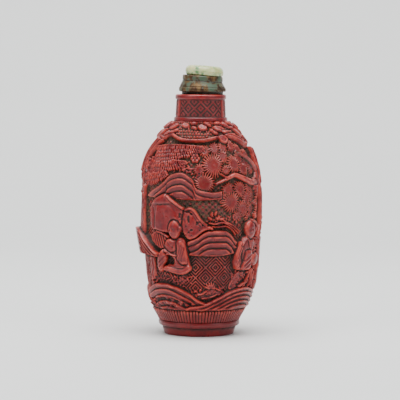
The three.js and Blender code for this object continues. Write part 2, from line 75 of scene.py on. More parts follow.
def carved_points(u, v, height):
    """The points that stand a height above the ground at [u, v], square to the ground."""
    step = 0.05
    slope = (ground_radius(v + step) - ground_radius(v - step)) / (2 * step)
    steepness = np.sqrt(1 + slope**2)
    radius = ground_radius(v) + height / steepness
    angle = u / GIRTH_RADIUS
    z = v - slope * height / steepness
    return np.stack([radius * np.sin(angle), -radius * np.cos(angle), z], axis=-1)


# ---------------------------------------------------------------- curves, distances and noise


def spline(points, steps=8, closed=False):
    """A smooth curve through the points."""
    p = np.array(points, float)
    if closed:
        p = np.vstack([p[-1], p, p[0], p[1]])
    else:
        p = np.vstack([2 * p[0] - p[1], p, 2 * p[-1] - p[-2]])
    t = np.linspace(0, 1, steps, endpoint=False)[:, None]
    parts = []
    for a, b, c, d in zip(p[:-3], p[1:-2], p[2:-1], p[3:]):
        cubic = (-a + 3 * b - 3 * c + d) * t**3 + (2 * a - 5 * b + 4 * c - d) * t**2
        parts.append((cubic + (c - a) * t + 2 * b) / 2)
    parts.append(p[-2][None, :])
    return np.vstack(parts)


def near_path(path, u, v):
    """How far each place is from a path, how far along it, and how far to its left."""
    best = np.full(u.shape, 1e9)
    along = np.zeros(u.shape)
    side = np.zeros(u.shape)
    start = 0.0
    for (u0, v0), (u1, v1) in zip(path[:-1], path[1:]):
        du, dv = u1 - u0, v1 - v0
        length = math.hypot(du, dv)
        if length < 1e-9:
            continue
        t = np.clip(((u - u0) * du + (v - v0) * dv) / length**2, 0, 1)
        away = np.hypot(u - u0 - t * du, v - v0 - t * dv)
        closer = away < best
        best = np.where(closer, away, best)
        along = np.where(closer, start + t * length, along)
        side = np.where(closer, (du * (v - v0) - dv * (u - u0)) / length, side)
        start += length
    return best, along, side


def inside_distance(outline, u, v):
    """How far each place is inside a closed outline, less than 0 outside it."""
    inside = np.zeros(u.shape, bool)
    for (u0, v0), (u1, v1) in zip(outline[:-1], outline[1:]):
        if v0 != v1:
            crosses = (v0 > v) != (v1 > v)
            inside ^= crosses & (u < (u1 - u0) * (v - v0) / (v1 - v0) + u0)
    away = near_path(outline, u, v)[0]
    return np.where(inside, away, -away)


def shoulder(distance, width):
    """A round edge, from 0 at the outline to 1 a width inside it."""
    inwards = np.clip(distance / width, 0, 1)
    return np.sqrt(1 - (1 - inwards) ** 2)


def soft_step(x, low, high):
    t = np.clip((x - low) / (high - low), 0, 1)
    return t * t * (3 - 2 * t)


def scatter(i, j, seed):
    """A fixed number from 0 to 1 for each pair of whole numbers."""
    wave = np.sin(i * 127.1 + j * 311.7 + seed * 74.7) * 43758.5453
    return wave - np.floor(wave)


def noise(u, v, size, seed=0):
    """Smooth noise from 0 to 1, with lumps of a size. It closes on itself all round the bottle."""
    lumps = max(1, round(AROUND / size))
    x = u / AROUND * lumps
    y = v / size
    i, j = np.floor(x), np.floor(y)
    fx, fy = x - i, y - j
    fx, fy = fx * fx * (3 - 2 * fx), fy * fy * (3 - 2 * fy)
    i0, i1 = np.mod(i, lumps), np.mod(i + 1, lumps)
    low = scatter(i0, j, seed) * (1 - fx) + scatter(i1, j, seed) * fx
    high = scatter(i0, j + 1, seed) * (1 - fx) + scatter(i1, j + 1, seed) * fx
    return low * (1 - fy) + high * fy


def rough(u, v, size, seed=0):
    """Noise with finer noise on it, about 0."""
    return noise(u, v, size, seed) + 0.5 * noise(u, v, size / 2, seed + 1) - 0.75


# ---------------------------------------------------------------- the carver's cuts


class Carving:
    """Heights above the ground over the whole carved band, painted from the back to the front."""

    def __init__(self):
        self.u_of = (np.arange(COLUMNS) / COLUMNS - 0.5) * AROUND
        self.v_of = BAND_FROM + (BAND_TO - BAND_FROM) * np.arange(ROWS + 1) / ROWS
        self.height = np.zeros((ROWS + 1, COLUMNS))
        self.dust = np.zeros((ROWS + 1, COLUMNS))

    def window(self, points, margin):
        us, vs = np.array(points, float).T
        cell = AROUND / COLUMNS
        first = math.floor((us.min() - margin + AROUND / 2) / cell)
        last = math.ceil((us.max() + margin + AROUND / 2) / cell)
        columns = np.arange(first, last + 1)
        rows = np.nonzero((self.v_of > vs.min() - margin) & (self.v_of < vs.max() + margin))[0]
        u, v = np.meshgrid(columns * cell - AROUND / 2, self.v_of[rows])
        return np.ix_(rows, np.mod(columns, COLUMNS)), u, v

    def lay(self, points, cut, moat=0.0, dust=0.0):
        """Lays a shape over what is there. cut gives its height and how far a place is inside it."""
        place, u, v = self.window(points, 0.8)
        if not len(u):
            return
        height, inside = cut(u, v)
        cover = soft_step(inside, -0.06, 0.06)
        old = self.height[place]
        if moat:
            old = old - moat * np.exp(-((np.minimum(inside, 0) / 0.22) ** 2)) * (inside > -0.8)
            old = np.maximum(old, -0.25)
        self.height[place] = old * (1 - cover) + height * cover
        self.dust[place] = self.dust[place] * (1 - cover) + dust * cover

    def press(self, points, cut):
        """Adds to what is there, or cuts into it."""
        place, u, v = self.window(points, 0.8)
        if len(u):
            self.height[place] += cut(u, v)

    def plate(self, points, height, edge=0.5, drop=0.55, texture=None, moat=0.25, dust=0.0, sharp=False):
        outline = np.array(points + points[:1], float) if sharp else spline(points, 6, closed=True)

        def cut(u, v):
            inside = inside_distance(outline, u, v)
            top = height * (1 - drop * (1 - shoulder(inside, edge)))
            if texture is not None:
                top = top + texture(u, v) * soft_step(inside, 0.1, 0.45)
            return top, inside

        self.lay(outline, cut, moat, dust)

    def hill(self, crest_points, foot_points, height, fall=0.4, pitch=1.3, depth=0.32, rim=0.16,
             texture=None, moat=0.3, seed=0, dust=0.0, plain_to=-999.0):
        """A hill in layers: each has a raised rim along its top, and falls away to the next one's.

        It is plain to the left of plain_to."""
        crest = spline(crest_points, 6)
        foot = spline(foot_points, 6)
        left = max(crest[0][0], foot[0][0])
        right = min(crest[-1][0], foot[-1][0])

        def cut(u, v):
            top_v = np.interp(u, crest[:, 0], crest[:, 1])
            foot_v = np.interp(u, foot[:, 0], foot[:, 1])
            room = np.maximum(top_v - foot_v, 0.01)
            down = top_v - v
            share = np.clip(down / room, 0, 1)
            ends = np.minimum(u - left, right - u)
            inside = np.minimum(np.minimum(down, v - foot_v), ends)
            wander = 0.45 * (noise(u, v * 0 + 3, 5.0, seed) - 0.5)
            layer = np.clip(down / pitch + wander * soft_step(down, 0, pitch), 0, None)
            phase = layer - np.floor(layer)
            layers = depth * phase**1.6 - rim * np.exp(-(((phase - 0.13) / 0.13) ** 2))
            strength = soft_step(inside, 0.0, 0.3) * soft_step(u, plain_to - 3, plain_to)
            top = height * (1 - fall * share) * (0.45 + 0.55 * shoulder(inside, 0.4)) - layers * strength
            if texture is not None:
                top = top + texture(u, v, share) * strength
            return top, inside

        self.lay(np.vstack([crest, foot]), cut, moat, dust)

    def dome(self, u0, v0, half_width, half_height, height, turn=0.0, flatness=1.0, base=0.35, moat=0.2,
             dust=0.0):
        reach = max(half_width, half_height)
        cos, sin = math.cos(turn), math.sin(turn)

        def cut(u, v):
            x = ((u - u0) * cos + (v - v0) * sin) / half_width
            y = ((v - v0) * cos - (u - u0) * sin) / half_height
            away = np.hypot(x, y)
            round_top = np.sqrt(np.clip(1 - away ** (2 * flatness), 0, 1))
            return height * (base + (1 - base) * round_top), (1 - away) * min(half_width, half_height)

        self.lay([[u0 - reach, v0 - reach], [u0 + reach, v0 + reach]], cut, moat, dust)

    def stroke(self, points, start_width, end_width, height, base=0.4, moat=0.15, bark=0.0, bark_pitch=0.8):
        """A rounded ridge along a path, such as a branch, a fold or a trunk with its bark."""
        path = spline(points, 8)
        length = np.hypot(*np.diff(path, axis=0).T).sum()

        def cut(u, v):
            away, along, side = near_path(path, u, v)
            half = (start_width + (end_width - start_width) * along / length) / 2
            inside = half - away
            top = height * (base + (1 - base) * shoulder(inside, half))
            if bark:
                lanes = side / bark_pitch + 0.7 * noise(u, v, 2.4, 5) + 0.25 * np.sin(along * 1.7)
                ridge = np.abs(np.sin(math.pi * lanes))
                top = top + bark * (ridge - 0.6) * soft_step(inside, 0.05, 0.4)
            return top, inside

        self.lay(path, cut, moat)

    def groove(self, points, width, depth):
        """A V cut along a path, or a raised line if the depth is less than 0."""
        path = spline(points, 8)

        def cut(u, v):
            return -depth * np.clip(1 - near_path(path, u, v)[0] / (width / 2), 0, 1)

        self.press(path, cut)

    def leaf(self, u0, v0, turn, length, width, height, vein=0.12, moat=0.1, dust=0.0):
        """A pointed leaf that grows from [u0, v0]. turn is its direction, from the right, in degrees."""
        cos, sin = math.cos(math.radians(turn)), math.sin(math.radians(turn))

        def cut(u, v):
            along = ((u - u0) * cos + (v - v0) * sin) / length
            across = (v - v0) * cos - (u - u0) * sin
            half = width / 2 * np.sqrt(np.clip(np.sin(math.pi * np.clip(along, 0, 1)), 0, 1))
            inside = np.where((along > 0) & (along < 1), half - np.abs(across), -1.0)
            top = height * (0.5 + 0.5 * shoulder(inside, width / 2))
            top = top - vein * np.exp(-((across / 0.1) ** 2))
            return top, inside

        self.lay([[u0, v0], [u0 + length * cos, v0 + length * sin]], cut, moat, dust)

    def wheel(self, u0, v0, radius, height=0.8, seed=0, dust=0.8):
        """A round tuft of thin pine needles that fan out from a small boss."""
        needles = round(radius * 7.2)

        def cut(u, v):
            away = np.hypot(u - u0, v - v0)
            angle = np.arctan2(v - v0, u - u0)
            bend = 0.25 * away / radius * math.cos(seed)
            comb = np.cos(needles * (angle + bend) + seed)
            wobble = 0.05 * np.sin(3 * angle + seed) + 0.035 * np.sin(7 * angle + 2 * seed)
            edge = radius * (0.89 + 0.13 * comb + wobble)
            inside = edge - away
            ridges = 0.24 * (comb - 0.15) * soft_step(away, 0.1 * radius, 0.4 * radius)
            bowl = 0.72 + 0.28 * np.exp(-(((away / radius - 0.5) / 0.32) ** 2))
            boss = 0.16 * np.exp(-((away / (0.11 * radius)) ** 2))
            return height * bowl * (0.55 + 0.45 * shoulder(inside, 0.5)) + ridges + boss, inside

        reach = radius * 1.15
        self.lay([[u0 - reach, v0 - reach], [u0 + reach, v0 + reach]], cut, 0.12, dust)

    def fringe(self, crest_points, foot_points, height, rows=3, leaf_width=0.72, lean=0.0, seed=0):
        """A bank of foliage: rows of narrow pointed leaflets hang down over each other like feathers."""
        crest = spline(crest_points, 6)
        foot = spline(foot_points, 6)
        left, right = crest[0][0], crest[-1][0]
        count = max(2, round((right - left) / leaf_width))
        for row in range(rows - 1, -1, -1):
            for i in range(count + 1):
                share = (i + 0.5 * (row % 2)) / count
                u0 = left + (right - left) * share
                top = np.interp(u0, crest[:, 0], crest[:, 1])
                room = top - np.interp(u0, foot[:, 0], foot[:, 1])
                luck = float(scatter(np.array(i), np.array(row), seed))
                turn = -90 + lean + 18 * (share - 0.5) + 18 * (luck - 0.5)
                length = room / rows * (1.45 + 0.5 * luck)
                rise = height + 0.13 * (rows - 1 - row)
                self.leaf(u0, top - room * row / rows, turn, length, leaf_width * 1.05, rise, 0.06, 0.22)
        self.stroke(crest_points, 0.5, 0.4, height + 0.13 * rows, 0.6, 0.0)

    def scrub(self, u0, v0, half_width, half_height, count, height, seed=0, length=1.3, width=0.55):
        """A thicket of small leaves."""
        for i in range(count):
            a, b, c = (float(scatter(np.array(i), np.array(k), seed)) for k in range(3))
            u = u0 + half_width * (2 * a - 1)
            v = v0 + half_height * (2 * b - 1)
            self.leaf(u, v, 360 * c, length * (0.7 + 0.6 * a), width, height * (0.75 + 0.4 * b), 0.08)

    def lobe(self, u0, v0, half_width, half_height, height, turn=0.0, lift=0.25):
        """A smooth tongue of foliage, a little hollow inside a raised rim, that stands clear of what is under it."""
        turn = math.radians(turn)
        cos, sin = math.cos(turn), math.sin(turn)
        reach = max(half_width, half_height)

        def cut(u, v):
            x = ((u - u0) * cos + (v - v0) * sin) / half_width
            y = ((v - v0) * cos - (u - u0) * sin) / half_height
            away = (np.abs(x) ** 2.4 + np.abs(y) ** 2.4) ** (1 / 2.4)
            away = away + 0.05 * np.sin(5 * np.arctan2(y, x) + u0)
            inside = (1 - away) * min(half_width, half_height)
            rim = 0.13 * np.exp(-(((inside - 0.3) / 0.17) ** 2))
            top = height * (0.55 + 0.45 * shoulder(inside, 0.4)) + rim - lift * y * soft_step(inside, 0, 0.4)
            return top, inside

        self.lay([[u0 - reach, v0 - reach], [u0 + reach, v0 + reach]], cut, 0.45)


# ---------------------------------------------------------------- the carved landscape


def carve_ground(carving):
    """Diaper grounds: nested diamonds below, for land, and a fine cross-hatch above, for sky."""
    u, v = np.meshgrid(carving.u_of, carving.v_of)
    diamond = AROUND / 34
    x = np.mod((u - 1.8) / diamond, 2) - 1
    y = np.mod((v - 17.7) / diamond, 2) - 1
    near = np.abs(x) + np.abs(y)
    nested = np.where(near > 1, 2 - near, near)
    land = 0.27 * np.cos(2 * math.pi * nested * 3) + 0.05
    hatch = AROUND / 112
    sky = 0.12 * (np.cos(2 * math.pi * (u + v) / (2 * hatch)) + np.cos(2 * math.pi * (u - v) / (2 * hatch)))
    share = soft_step(v, 31, 33)
    worn = 0.6 + 0.8 * noise(u, v, 3.4, 2)
    carving.height += (land * (1 - share) + sky * share) * worn + 0.1 * rough(u, v, 1.6, 3)
    carving.dust += 0.25 + 0.75 * soft_step(v, 26, 36)


def carve_flutes(carving):
    """A band of upright petals round the foot, each with a round top."""
    u, v = np.meshgrid(carving.u_of, carving.v_of)
    across = 2 * np.abs(np.mod(u / AROUND * FLUTES + 0.25 * noise(u, v * 0, 2.3, 16), 1) - 0.5)
    petal_top = 8.2 - 0.5 * across**3 - 0.4 * noise(u, v * 0, 1.1, 17)
    inside = np.minimum((1 - across) * 0.55, petal_top - v)
    swell = 0.45 + 0.16 * soft_step(v, 4.5, 8)
    hollow = 0.1 * np.exp(-((across / 0.3) ** 2)) * soft_step(7.6 - v, 0, 0.8)
    flute = -0.25 + (swell + 0.25) * shoulder(inside, 0.36) - hollow
    below = v < BODY_FROM
    carving.height = np.where(below, flute, carving.height)
    lip = 0.35 * np.exp(-(((v - 8.25) / 0.22) ** 2))
    carving.height = np.maximum(carving.height, np.where((v > 7.9) & (v < 8.7), lip, -1))


def carve_trees(carving):
    trunk = dict(bark=0.3, bark_pitch=1.1)
    carving.stroke([[-21.5, 26.5], [-20.6, 31], [-19.6, 38], [-20.6, 45], [-22.6, 50]], 7.4, 3.6, 1.45, 0.6,
                   **trunk)
    carving.stroke([[-15.6, 12], [-15.7, 19], [-15.2, 25]], 5.8, 4.6, 1.0, 0.5, **trunk)
    carving.stroke([[23, 28], [22.2, 36], [23.4, 43], [24.4, 48], [24.6, 53.6]], 7.4, 3.6, 2.1, 0.55, **trunk)
    carving.stroke([[18.2, 35], [18.4, 40], [20.4, 45]], 2.6, 3.0, 1.7, 0.5, **trunk)
    carving.stroke([[-41, 12], [-38, 22], [-42, 32], [-37, 42], [-40, 52]], 4.8, 3, 1.5, 0.5, **trunk)
    carving.stroke([[-39.5, 36], [-45, 39.5], [-49, 41]], 2, 0.9, 1.2, 0.5, bark=0.2)
    wheels = [
        (17.6, 52.4, 1.8), (14.2, 53.8, 1.9), (11.6, 55.0, 1.8), (8.0, 54.6, 1.9), (4.8, 54.2, 2.0),
              (1.4, 53.6, 1.9),
        (16.6, 50.2, 1.9), (13.4, 51.4, 1.8), (7.4, 52.0, 2.0), (18.8, 48.6, 1.8), (14.6, 48.4, 2.2),
              (10.9, 49.8, 2.6),
        (-0.4, 48.4, 1.8), (7.8, 48.2, 1.6), (3.9, 49.6, 3.5), (1.2, 44.5, 3.2), (16.2, 43.4, 2.0),
              (17.4, 40.8, 2.0),
        (8.2, 42.9, 2.1), (12.3, 43.0, 2.4), (15.0, 40.3, 2.1), (16.9, 37.2, 1.9), (6.6, 40.6, 1.7),
              (9.0, 39.3, 3.1),
        (13.2, 37.4, 2.5), (11.4, 35.4, 1.7), (16.0, 34.6, 1.7),
    ]
    for i, (u, v, radius) in enumerate(wheels):
        carving.wheel(u, v, radius, 0.6 + 0.07 * radius, seed=i * 1.3)
    back_wheels = [
        (29.5, 49.5, 2.4), (34, 46.8, 2.8), (39.5, 44.2, 2.8), (44.5, 46.6, 2.6), (49.6, 44, 2.9),
                   (-46, 46.2, 2.7),
        (-45.6, 40, 2.2), (-34.5, 49.6, 2.4), (-33, 44.6, 2.2), (35, 41.2, 2.2), (45, 41, 2.2),
                   (-28.6, 42, 2.2),
        (30, 44.4, 2.0), (39, 49.2, 1.9), (-40.2, 49.4, 2.1), (-34, 39.4, 2.0), (-29.4, 37, 2.1),
                   (28, 39, 2.1),
    ]
    for i, (u, v, radius) in enumerate(back_wheels):
        carving.wheel(u, v, radius, 0.85, seed=i * 0.9)
    carving.stroke([[20.6, 44.6], [22.2, 47.4], [20.6, 49.4], [17.3, 51.4], [14, 52.6]], 2.2, 0.7, 1.5,
                   bark=0.15)
    carving.stroke([[20, 44.4], [17.7, 44.5], [15.4, 45.3], [13, 46.1], [11, 46.8], [9.8, 46.7], [8.2, 46.0],
                    [6.4, 45.3],
                    [4.4, 44.4]], 2.3, 0.7, 1.45, bark=0.14, moat=0.4)
    carving.stroke([[8.4, 46.1], [7.2, 46.4], [6.1, 47.2]], 0.8, 0.5, 1.3)
    carving.stroke([[24, 43], [31, 42.4], [38, 40], [44, 38.4]], 2.2, 0.8, 1.35, bark=0.15)


def carve_foliage(carving):
    carving.plate([[-31, 48], [-27, 50.6], [-21, 50.6], [-20, 47], [-22, 43.4], [-26, 41.6], [-31, 42.4]],
                  1.4, 1.2)
    carving.fringe([[-25.5, 50.5], [-21, 51], [-18, 50.4]], [[-25.5, 44], [-21, 45], [-18, 47.4]], 1.3, 5,
                   seed=4)
    carving.fringe([[-32, 47.5], [-28, 50], [-24.5, 49.4]], [[-32, 41.5], [-28, 41.5], [-24.5, 42]], 1.4, 5,
                   seed=5)
    carving.fringe([[-21, 47.4], [-16.6, 48.2], [-13.4, 48.3], [-10.6, 47.6]],
                   [[-21, 44.2], [-16.7, 44.4], [-10.6, 46.2]],
                   0.8, 3, lean=14, seed=1)
    carving.fringe([[-18.6, 51.4], [-13, 51.4], [-8.4, 50.9], [-4.6, 50.7]],
                   [[-18.6, 47.8], [-12, 48.4], [-8, 48.6], [-4.6, 49.9]],
                   0.85, 3, lean=14, seed=2)
    carving.fringe([[-17, 54.4], [-11, 54.9], [-5, 54.9], [0.8, 54.6]],
                   [[-17, 50.9], [-11, 51.2], [-5, 52], [0.8, 53.4]],
                   0.95, 4, lean=14, seed=3)
    carving.fringe([[37, 51], [44, 52.4], [51, 51]], [[37, 48.4], [44, 49.4], [51, 48.6]], 0.8, seed=7)
    carving.fringe([[-50.5, 53.4], [-44, 53.6], [-37, 51.6]], [[-50.5, 50.6], [-44, 51], [-37, 49]], 0.8,
                   seed=8)
    carving.fringe([[-34, 53.4], [-29, 53.8], [-25, 53]], [[-34, 51], [-29, 50.6], [-25, 50]], 1.1, seed=9)
    for turn in range(0, 360, 60):
        a = math.radians(turn)
        carving.dome(-1.6 + 0.95 * math.cos(a), 51.5 + 0.8 * math.sin(a), 0.62, 0.55, 0.95)
    carving.dome(-1.6, 51.5, 0.45, 0.45, 1.15)
    carving.scrub(-4.6, 48.6, 2.4, 0.9, 20, 0.6, 12)
    carving.scrub(-1.2, 47, 0.9, 1.0, 8, 0.55, 13)


def carve_canopy(carving):
    rim = [
        [-51, 56.2], [-45, 55.4], [-40, 56.6], [-34, 54.6], [-29, 54.6], [-24, 53.4], [-21.4, 54],
           [-18.6, 54.8],
        [-16, 56.4], [-13.6, 57.9], [-11.4, 57.6], [-9.5, 56.7], [-6.6, 56.1], [-2, 55.9], [2, 56.1],
           [4.4, 56.4],
        [6.4, 57], [10.4, 57.4], [14, 56.6], [17, 55.6], [20, 55], [22.6, 54.6], [25, 53.6], [28, 53.6],
        [33, 55.4], [39, 55], [45, 56.5], [51, 56.2],
    ]
    top = [[-51, 61.6], [51, 61.6]]

    def florets(u, v, share):
        x = np.mod(u / 1.25 + 0.5 * np.floor(v / 0.8), 1) - 0.5
        y = np.mod(v / 0.8, 1) - 0.5
        return 0.3 * np.cos(math.pi * np.clip(np.hypot(x, y) * 1.6, 0, 1)) + 0.35 * rough(u, v, 0.9, 8)

    carving.hill(top, rim, 0.8, fall=-0.12, pitch=30, depth=0, rim=0, texture=florets, moat=0.45, dust=0.8)
    back_lobes = []
    for i in range(10):
        u = 28.5 + i * 4.85
        back_lobes += [(u, 57.4 if i % 2 else 58.1, 2.7, 1.3, -10 + 20 * (i % 2)),
                       (u + 2.3, 60.2, 2.5, 0.9, 8 - 16 * (i % 2))]
    for u, v, half_width, half_height, turn in back_lobes:
        carving.lobe(u, v, half_width, half_height, 1.25, turn)
    left_lobes = [
        (-24.6, 53.6, 2.6, 1.0, 52), (-22.2, 56, 2.4, 1.1, 42), (-26.6, 57.6, 2.4, 1.2, 20),
                  (-20, 58.2, 2.5, 1.1, 25),
        (-16.4, 57.6, 2.4, 0.85, 30), (-23.2, 60, 2.4, 0.9, 10), (-18.6, 60.3, 2.2, 0.8, 12),
    ]
    for u, v, half_width, half_height, turn in left_lobes:
        carving.lobe(u, v, half_width, half_height, 1.35, turn)
    carving.stroke([[-16.2, 56.0], [-18.4, 54.3], [-20.4, 51.6], [-21.4, 48.2]], 1.1, 0.9, 1.7, 0.5, 0.3)
    carving.stroke([[-17.8, 56.6], [-20.8, 54], [-23, 51], [-24, 47.4]], 1.5, 1.2, 2.1, 0.5, 0.3)
    carving.stroke([[-12.4, 57.8], [-10.4, 57.2], [-8, 56.55], [-5, 56.2], [-1, 56.2], [2.4, 56.4],
                    [6.8, 57.1]],
                   0.95, 0.8, 1.65, 0.6, 0.5)
    carving.stroke([[-17.6, 56.7], [-15.6, 56.7], [-14, 57.5], [-12.2, 57.8]], 0.9, 0.8, 1.5)
    lobes = [
        (5.8, 58.6, 2.0, 0.7, -20), (-12.6, 58.6, 2.2, 0.7, 14), (-14.4, 59.9, 2.5, 0.9, 12),
             (-7.6, 60.3, 2.2, 0.75, -6),
        (-3.0, 59.7, 1.6, 0.5, -8), (-3.4, 60.9, 1.8, 0.5, 0), (1.0, 59.8, 2.3, 0.95, -4),
             (3.6, 60.7, 2.2, 0.6, -12),
        (8.8, 59.4, 3.0, 0.9, -8), (13.6, 60.4, 2.6, 0.8, -14), (9.2, 61, 2.0, 0.5, 0),
    ]
    for u, v, half_width, half_height, turn in lobes:
        carving.lobe(u, v, half_width, half_height, 1.2, turn)
    for step in range(3):
        carving.groove([[3.2 + step, 61.0 - 0.1 * step], [4.6 + step, 60.5 - 0.2 * step],
                        [5.3 + step, 59.6 - 0.15 * step]],
                       0.42, 0.32)
    right_lobes = [
        (24.4, 56.4, 2.4, 1.2, -34), (22.6, 59.2, 2.5, 1.1, -24), (18.4, 58.6, 3.0, 1.0, -28),
                   (26.6, 59.8, 2.2, 1.0, -10),
        (17.4, 60.6, 2.2, 0.7, -18), (12.0, 58.0, 2.2, 0.7, -20),
    ]
    for u, v, half_width, half_height, turn in right_lobes:
        carving.lobe(u, v, half_width, half_height, 1.4, turn)
    carving.plate([[6.9, 57.3], [7.2, 56.2], [8.1, 55.6], [9.4, 55.4], [10.4, 55.8], [10.8, 56.6], [10, 57.5],
                   [8.4, 57.8]], 1.45, 0.4,
                  moat=0.5)
    carving.groove([[7.6, 57.2], [7.9, 56.3], [9.2, 56.0], [10, 56.5]], 0.4, 0.25)
    carving.plate([[10, 57.7], [13.4, 58.1], [16.4, 57.5], [19.6, 56.4], [22.2, 55.4], [22.4, 54.4],
                   [20.4, 54.1], [17.6, 54.9],
                   [14.6, 56.0], [11.6, 56.9]], 1.6, 0.5, moat=0.5)
    carving.groove([[11.2, 57.5], [14.2, 57.3], [17.6, 56.2], [20.2, 55.1]], 0.45, 0.3)
    carving.dome(20.6, 55.0, 1.7, 0.75, 1.75)


def carve_hills(carving):
    grain = lambda u, v, share: 0.07 * rough(u, v, 0.9, 21)
    carving.hill([[-27, 45.6], [-23, 44.4], [-20, 42.4]], [[-27, 42], [-23, 41.4], [-20, 41.4]], 1.2, seed=7)
    carving.hill(
        [[-17.2, 40.8], [-16, 41.6], [-14.5, 42.5], [-12.2, 43.8], [-10.6, 45], [-9.2, 46.4], [-7.6, 47.2],
         [-5.6, 47.5], [-4.4, 47.2],
         [-3.2, 46.4], [-2, 45.4], [-1.2, 43.4], [0, 42.7], [1.8, 42.3], [4, 42.1], [6.2, 42.5]],
        [[-17.2, 40.2], [-12, 40.2], [-7, 40.1], [0, 39.8], [6.2, 40.2]],
        1.45, pitch=1.85, depth=0.5, rim=0.22, texture=grain, seed=2,
    )
    carving.groove([[-10.6, 45], [-9.8, 43.6], [-10, 42], [-11.4, 40.8]], 0.7, 0.22)
    carve_rocks(carving)
    carve_shrub(carving)
    carving.hill(
        [[-3.4, 28.0], [-2.4, 28.5], [-1.4, 28.9], [-0.4, 29.5], [0.7, 30.4], [1.8, 31.0], [3, 31.25],
         [6.9, 31.2], [8, 30.8],
         [9.1, 29.8], [10, 28.6], [10.9, 28]],
        [[-3.4, 24.2], [0, 24.0], [6, 24.0], [10.9, 24.6]],
        1.5, 0.42, pitch=1.78, depth=0.55, rim=0.26, texture=grain, moat=0.45, seed=4,
    )
    carving.hill(
        [[-34, 27.6], [-30, 30.2], [-26, 31.2], [-22.6, 31.2], [-20, 30.2], [-17.6, 28.4], [-15.4, 26.8],
         [-13.4, 25.2], [-11.8, 24.4]],
        [[-34, 23.6], [-26, 23.4], [-20.4, 23.5], [-16.4, 23.5], [-11.8, 23.2]],
        2.75, 0.4, pitch=1.5, depth=0.6, rim=0.25, texture=grain, moat=0.45, seed=5, plain_to=-20.5,
    )
    carving.hill(
        [[18.6, 28], [20.4, 31], [22.4, 33.6], [25, 34.6], [29, 34], [33, 31.6], [38, 28.6]],
        [[18.6, 26.6], [27, 25.8], [38, 26.2]],
        2.2, 0.4, pitch=1.5, depth=0.5, rim=0.25, texture=grain, seed=6,
    )
    carving.hill([[33, 30], [39, 36.5], [45, 39], [51, 36.5], [58, 30.6]], [[33, 28], [45, 29.5], [58, 28]],
                 1.55, pitch=1.7, depth=0.5, rim=0.25, texture=grain, seed=8)
    carving.plate([[-51, 30], [-48.6, 34.4], [-45.5, 36.4], [-43.4, 32], [-43.8, 26.6], [-48, 26]], 1.5, 0.6,
                  texture=lambda u, v: 0.2 * rough(u, v, 1.0, 26))
    carving.hill([[38, 22], [45, 27], [52, 28.5], [60, 25.4], [67, 19.6]], [[38, 19.4], [52, 20], [67, 18.2]],
                 1.8, pitch=1.6, depth=0.5, rim=0.25, texture=grain, seed=9)


def carve_rocks(carving):
    """The two tall rocks behind the left figure: a smooth one in facets, and a pitted one that slopes to the right."""
    carving.plate(
        [[-9.6, 41.5], [-8.6, 40.7], [-7.4, 39.6], [-5.9, 38.5], [-4.3, 37.5], [-4.3, 36], [-4.6, 33.6],
         [-5.2, 31.4],
         [-9.5, 30.7], [-13.4, 31.0], [-15.2, 31.8], [-15.6, 35], [-15.4, 37.8], [-14.2, 39.7], [-12.2, 40.9],
         [-10.6, 41.6]],
        1.35, 0.6, moat=0.45)
    carving.plate([[-12.9, 31.2], [-12.8, 37.6], [-11.2, 38.2], [-8.8, 38.4], [-7.2, 37.2], [-6.3, 35.4],
                   [-6.2, 31.2]], 1.62, 0.5, 0.25,
                  texture=lambda u, v: 0.07 * rough(u, v, 1.4, 22), moat=0.0)
    carving.plate([[-14.4, 38.6], [-12, 40.4], [-10, 41.2], [-8.6, 40.4], [-7.4, 39.2], [-8.6, 38.8],
                   [-11.6, 38.6]], 1.6, 0.6, 0.25,
                  texture=lambda u, v: 0.07 * rough(u, v, 1.4, 27), moat=0.0)
    carving.groove([[-14.1, 37.4], [-13.7, 34.6], [-13.8, 31.8]], 0.7, 0.3)
    carving.groove([[-10.4, 36.8], [-10.0, 34.4], [-10.5, 31.8]], 0.8, 0.14)
    carving.groove([[-8.9, 37.4], [-8.4, 35.2], [-8.8, 33.6]], 0.6, 0.12)
    carving.stroke([[-9.2, 40.9], [-8, 39.9], [-6.4, 38.7], [-4.5, 37.5]], 0.75, 0.7, 1.9, 0.7, 0.2)
    carving.press([[-6.6, 33.6], [-4.6, 37]],
                  lambda u, v: -0.4 * (noise(u, v, 0.55,
                                             23) > 0.58) * soft_step(1.3 - np.hypot((u + 5.4) * 1.3,
                                                                                    v - 35.3), 0, 0.5))
    pits = lambda u, v: 0.16 * rough(u, v, 1.2, 24) - 0.3 * soft_step(noise(u, v, 0.75, 25), 0.7, 0.8)
    carving.plate(
        [[-4.3, 37.2], [-3.2, 37.8], [-2.1, 37.8], [-1.2, 37.1], [-0.5, 36], [0.2, 34.8], [1.2, 33.7],
         [2.4, 32.7], [3.8, 31.6],
         [1.6, 31.3], [0.2, 30.3], [-1.4, 28.9], [-3, 28.7], [-4.3, 30.2], [-5.0, 32.4], [-4.7, 34.8]],
        1.4, 0.8, texture=pits, moat=0.45)
    carving.stroke([[-3.8, 37.2], [-2.8, 37.6], [-1.8, 37.2], [-1.0, 36.2], [-0.1, 34.8], [1.0, 33.5],
                    [2.2, 32.6], [3.4, 31.8]],
                   0.75, 0.6, 1.75, 0.7, 0.2)
    carving.groove([[-2.6, 36.4], [-1.6, 35.3], [-0.8, 33.8], [0.4, 32.3]], 0.6, 0.3)
    carving.groove([[-4.2, 34.6], [-3.4, 32.4], [-2.8, 30.6]], 0.6, 0.16)


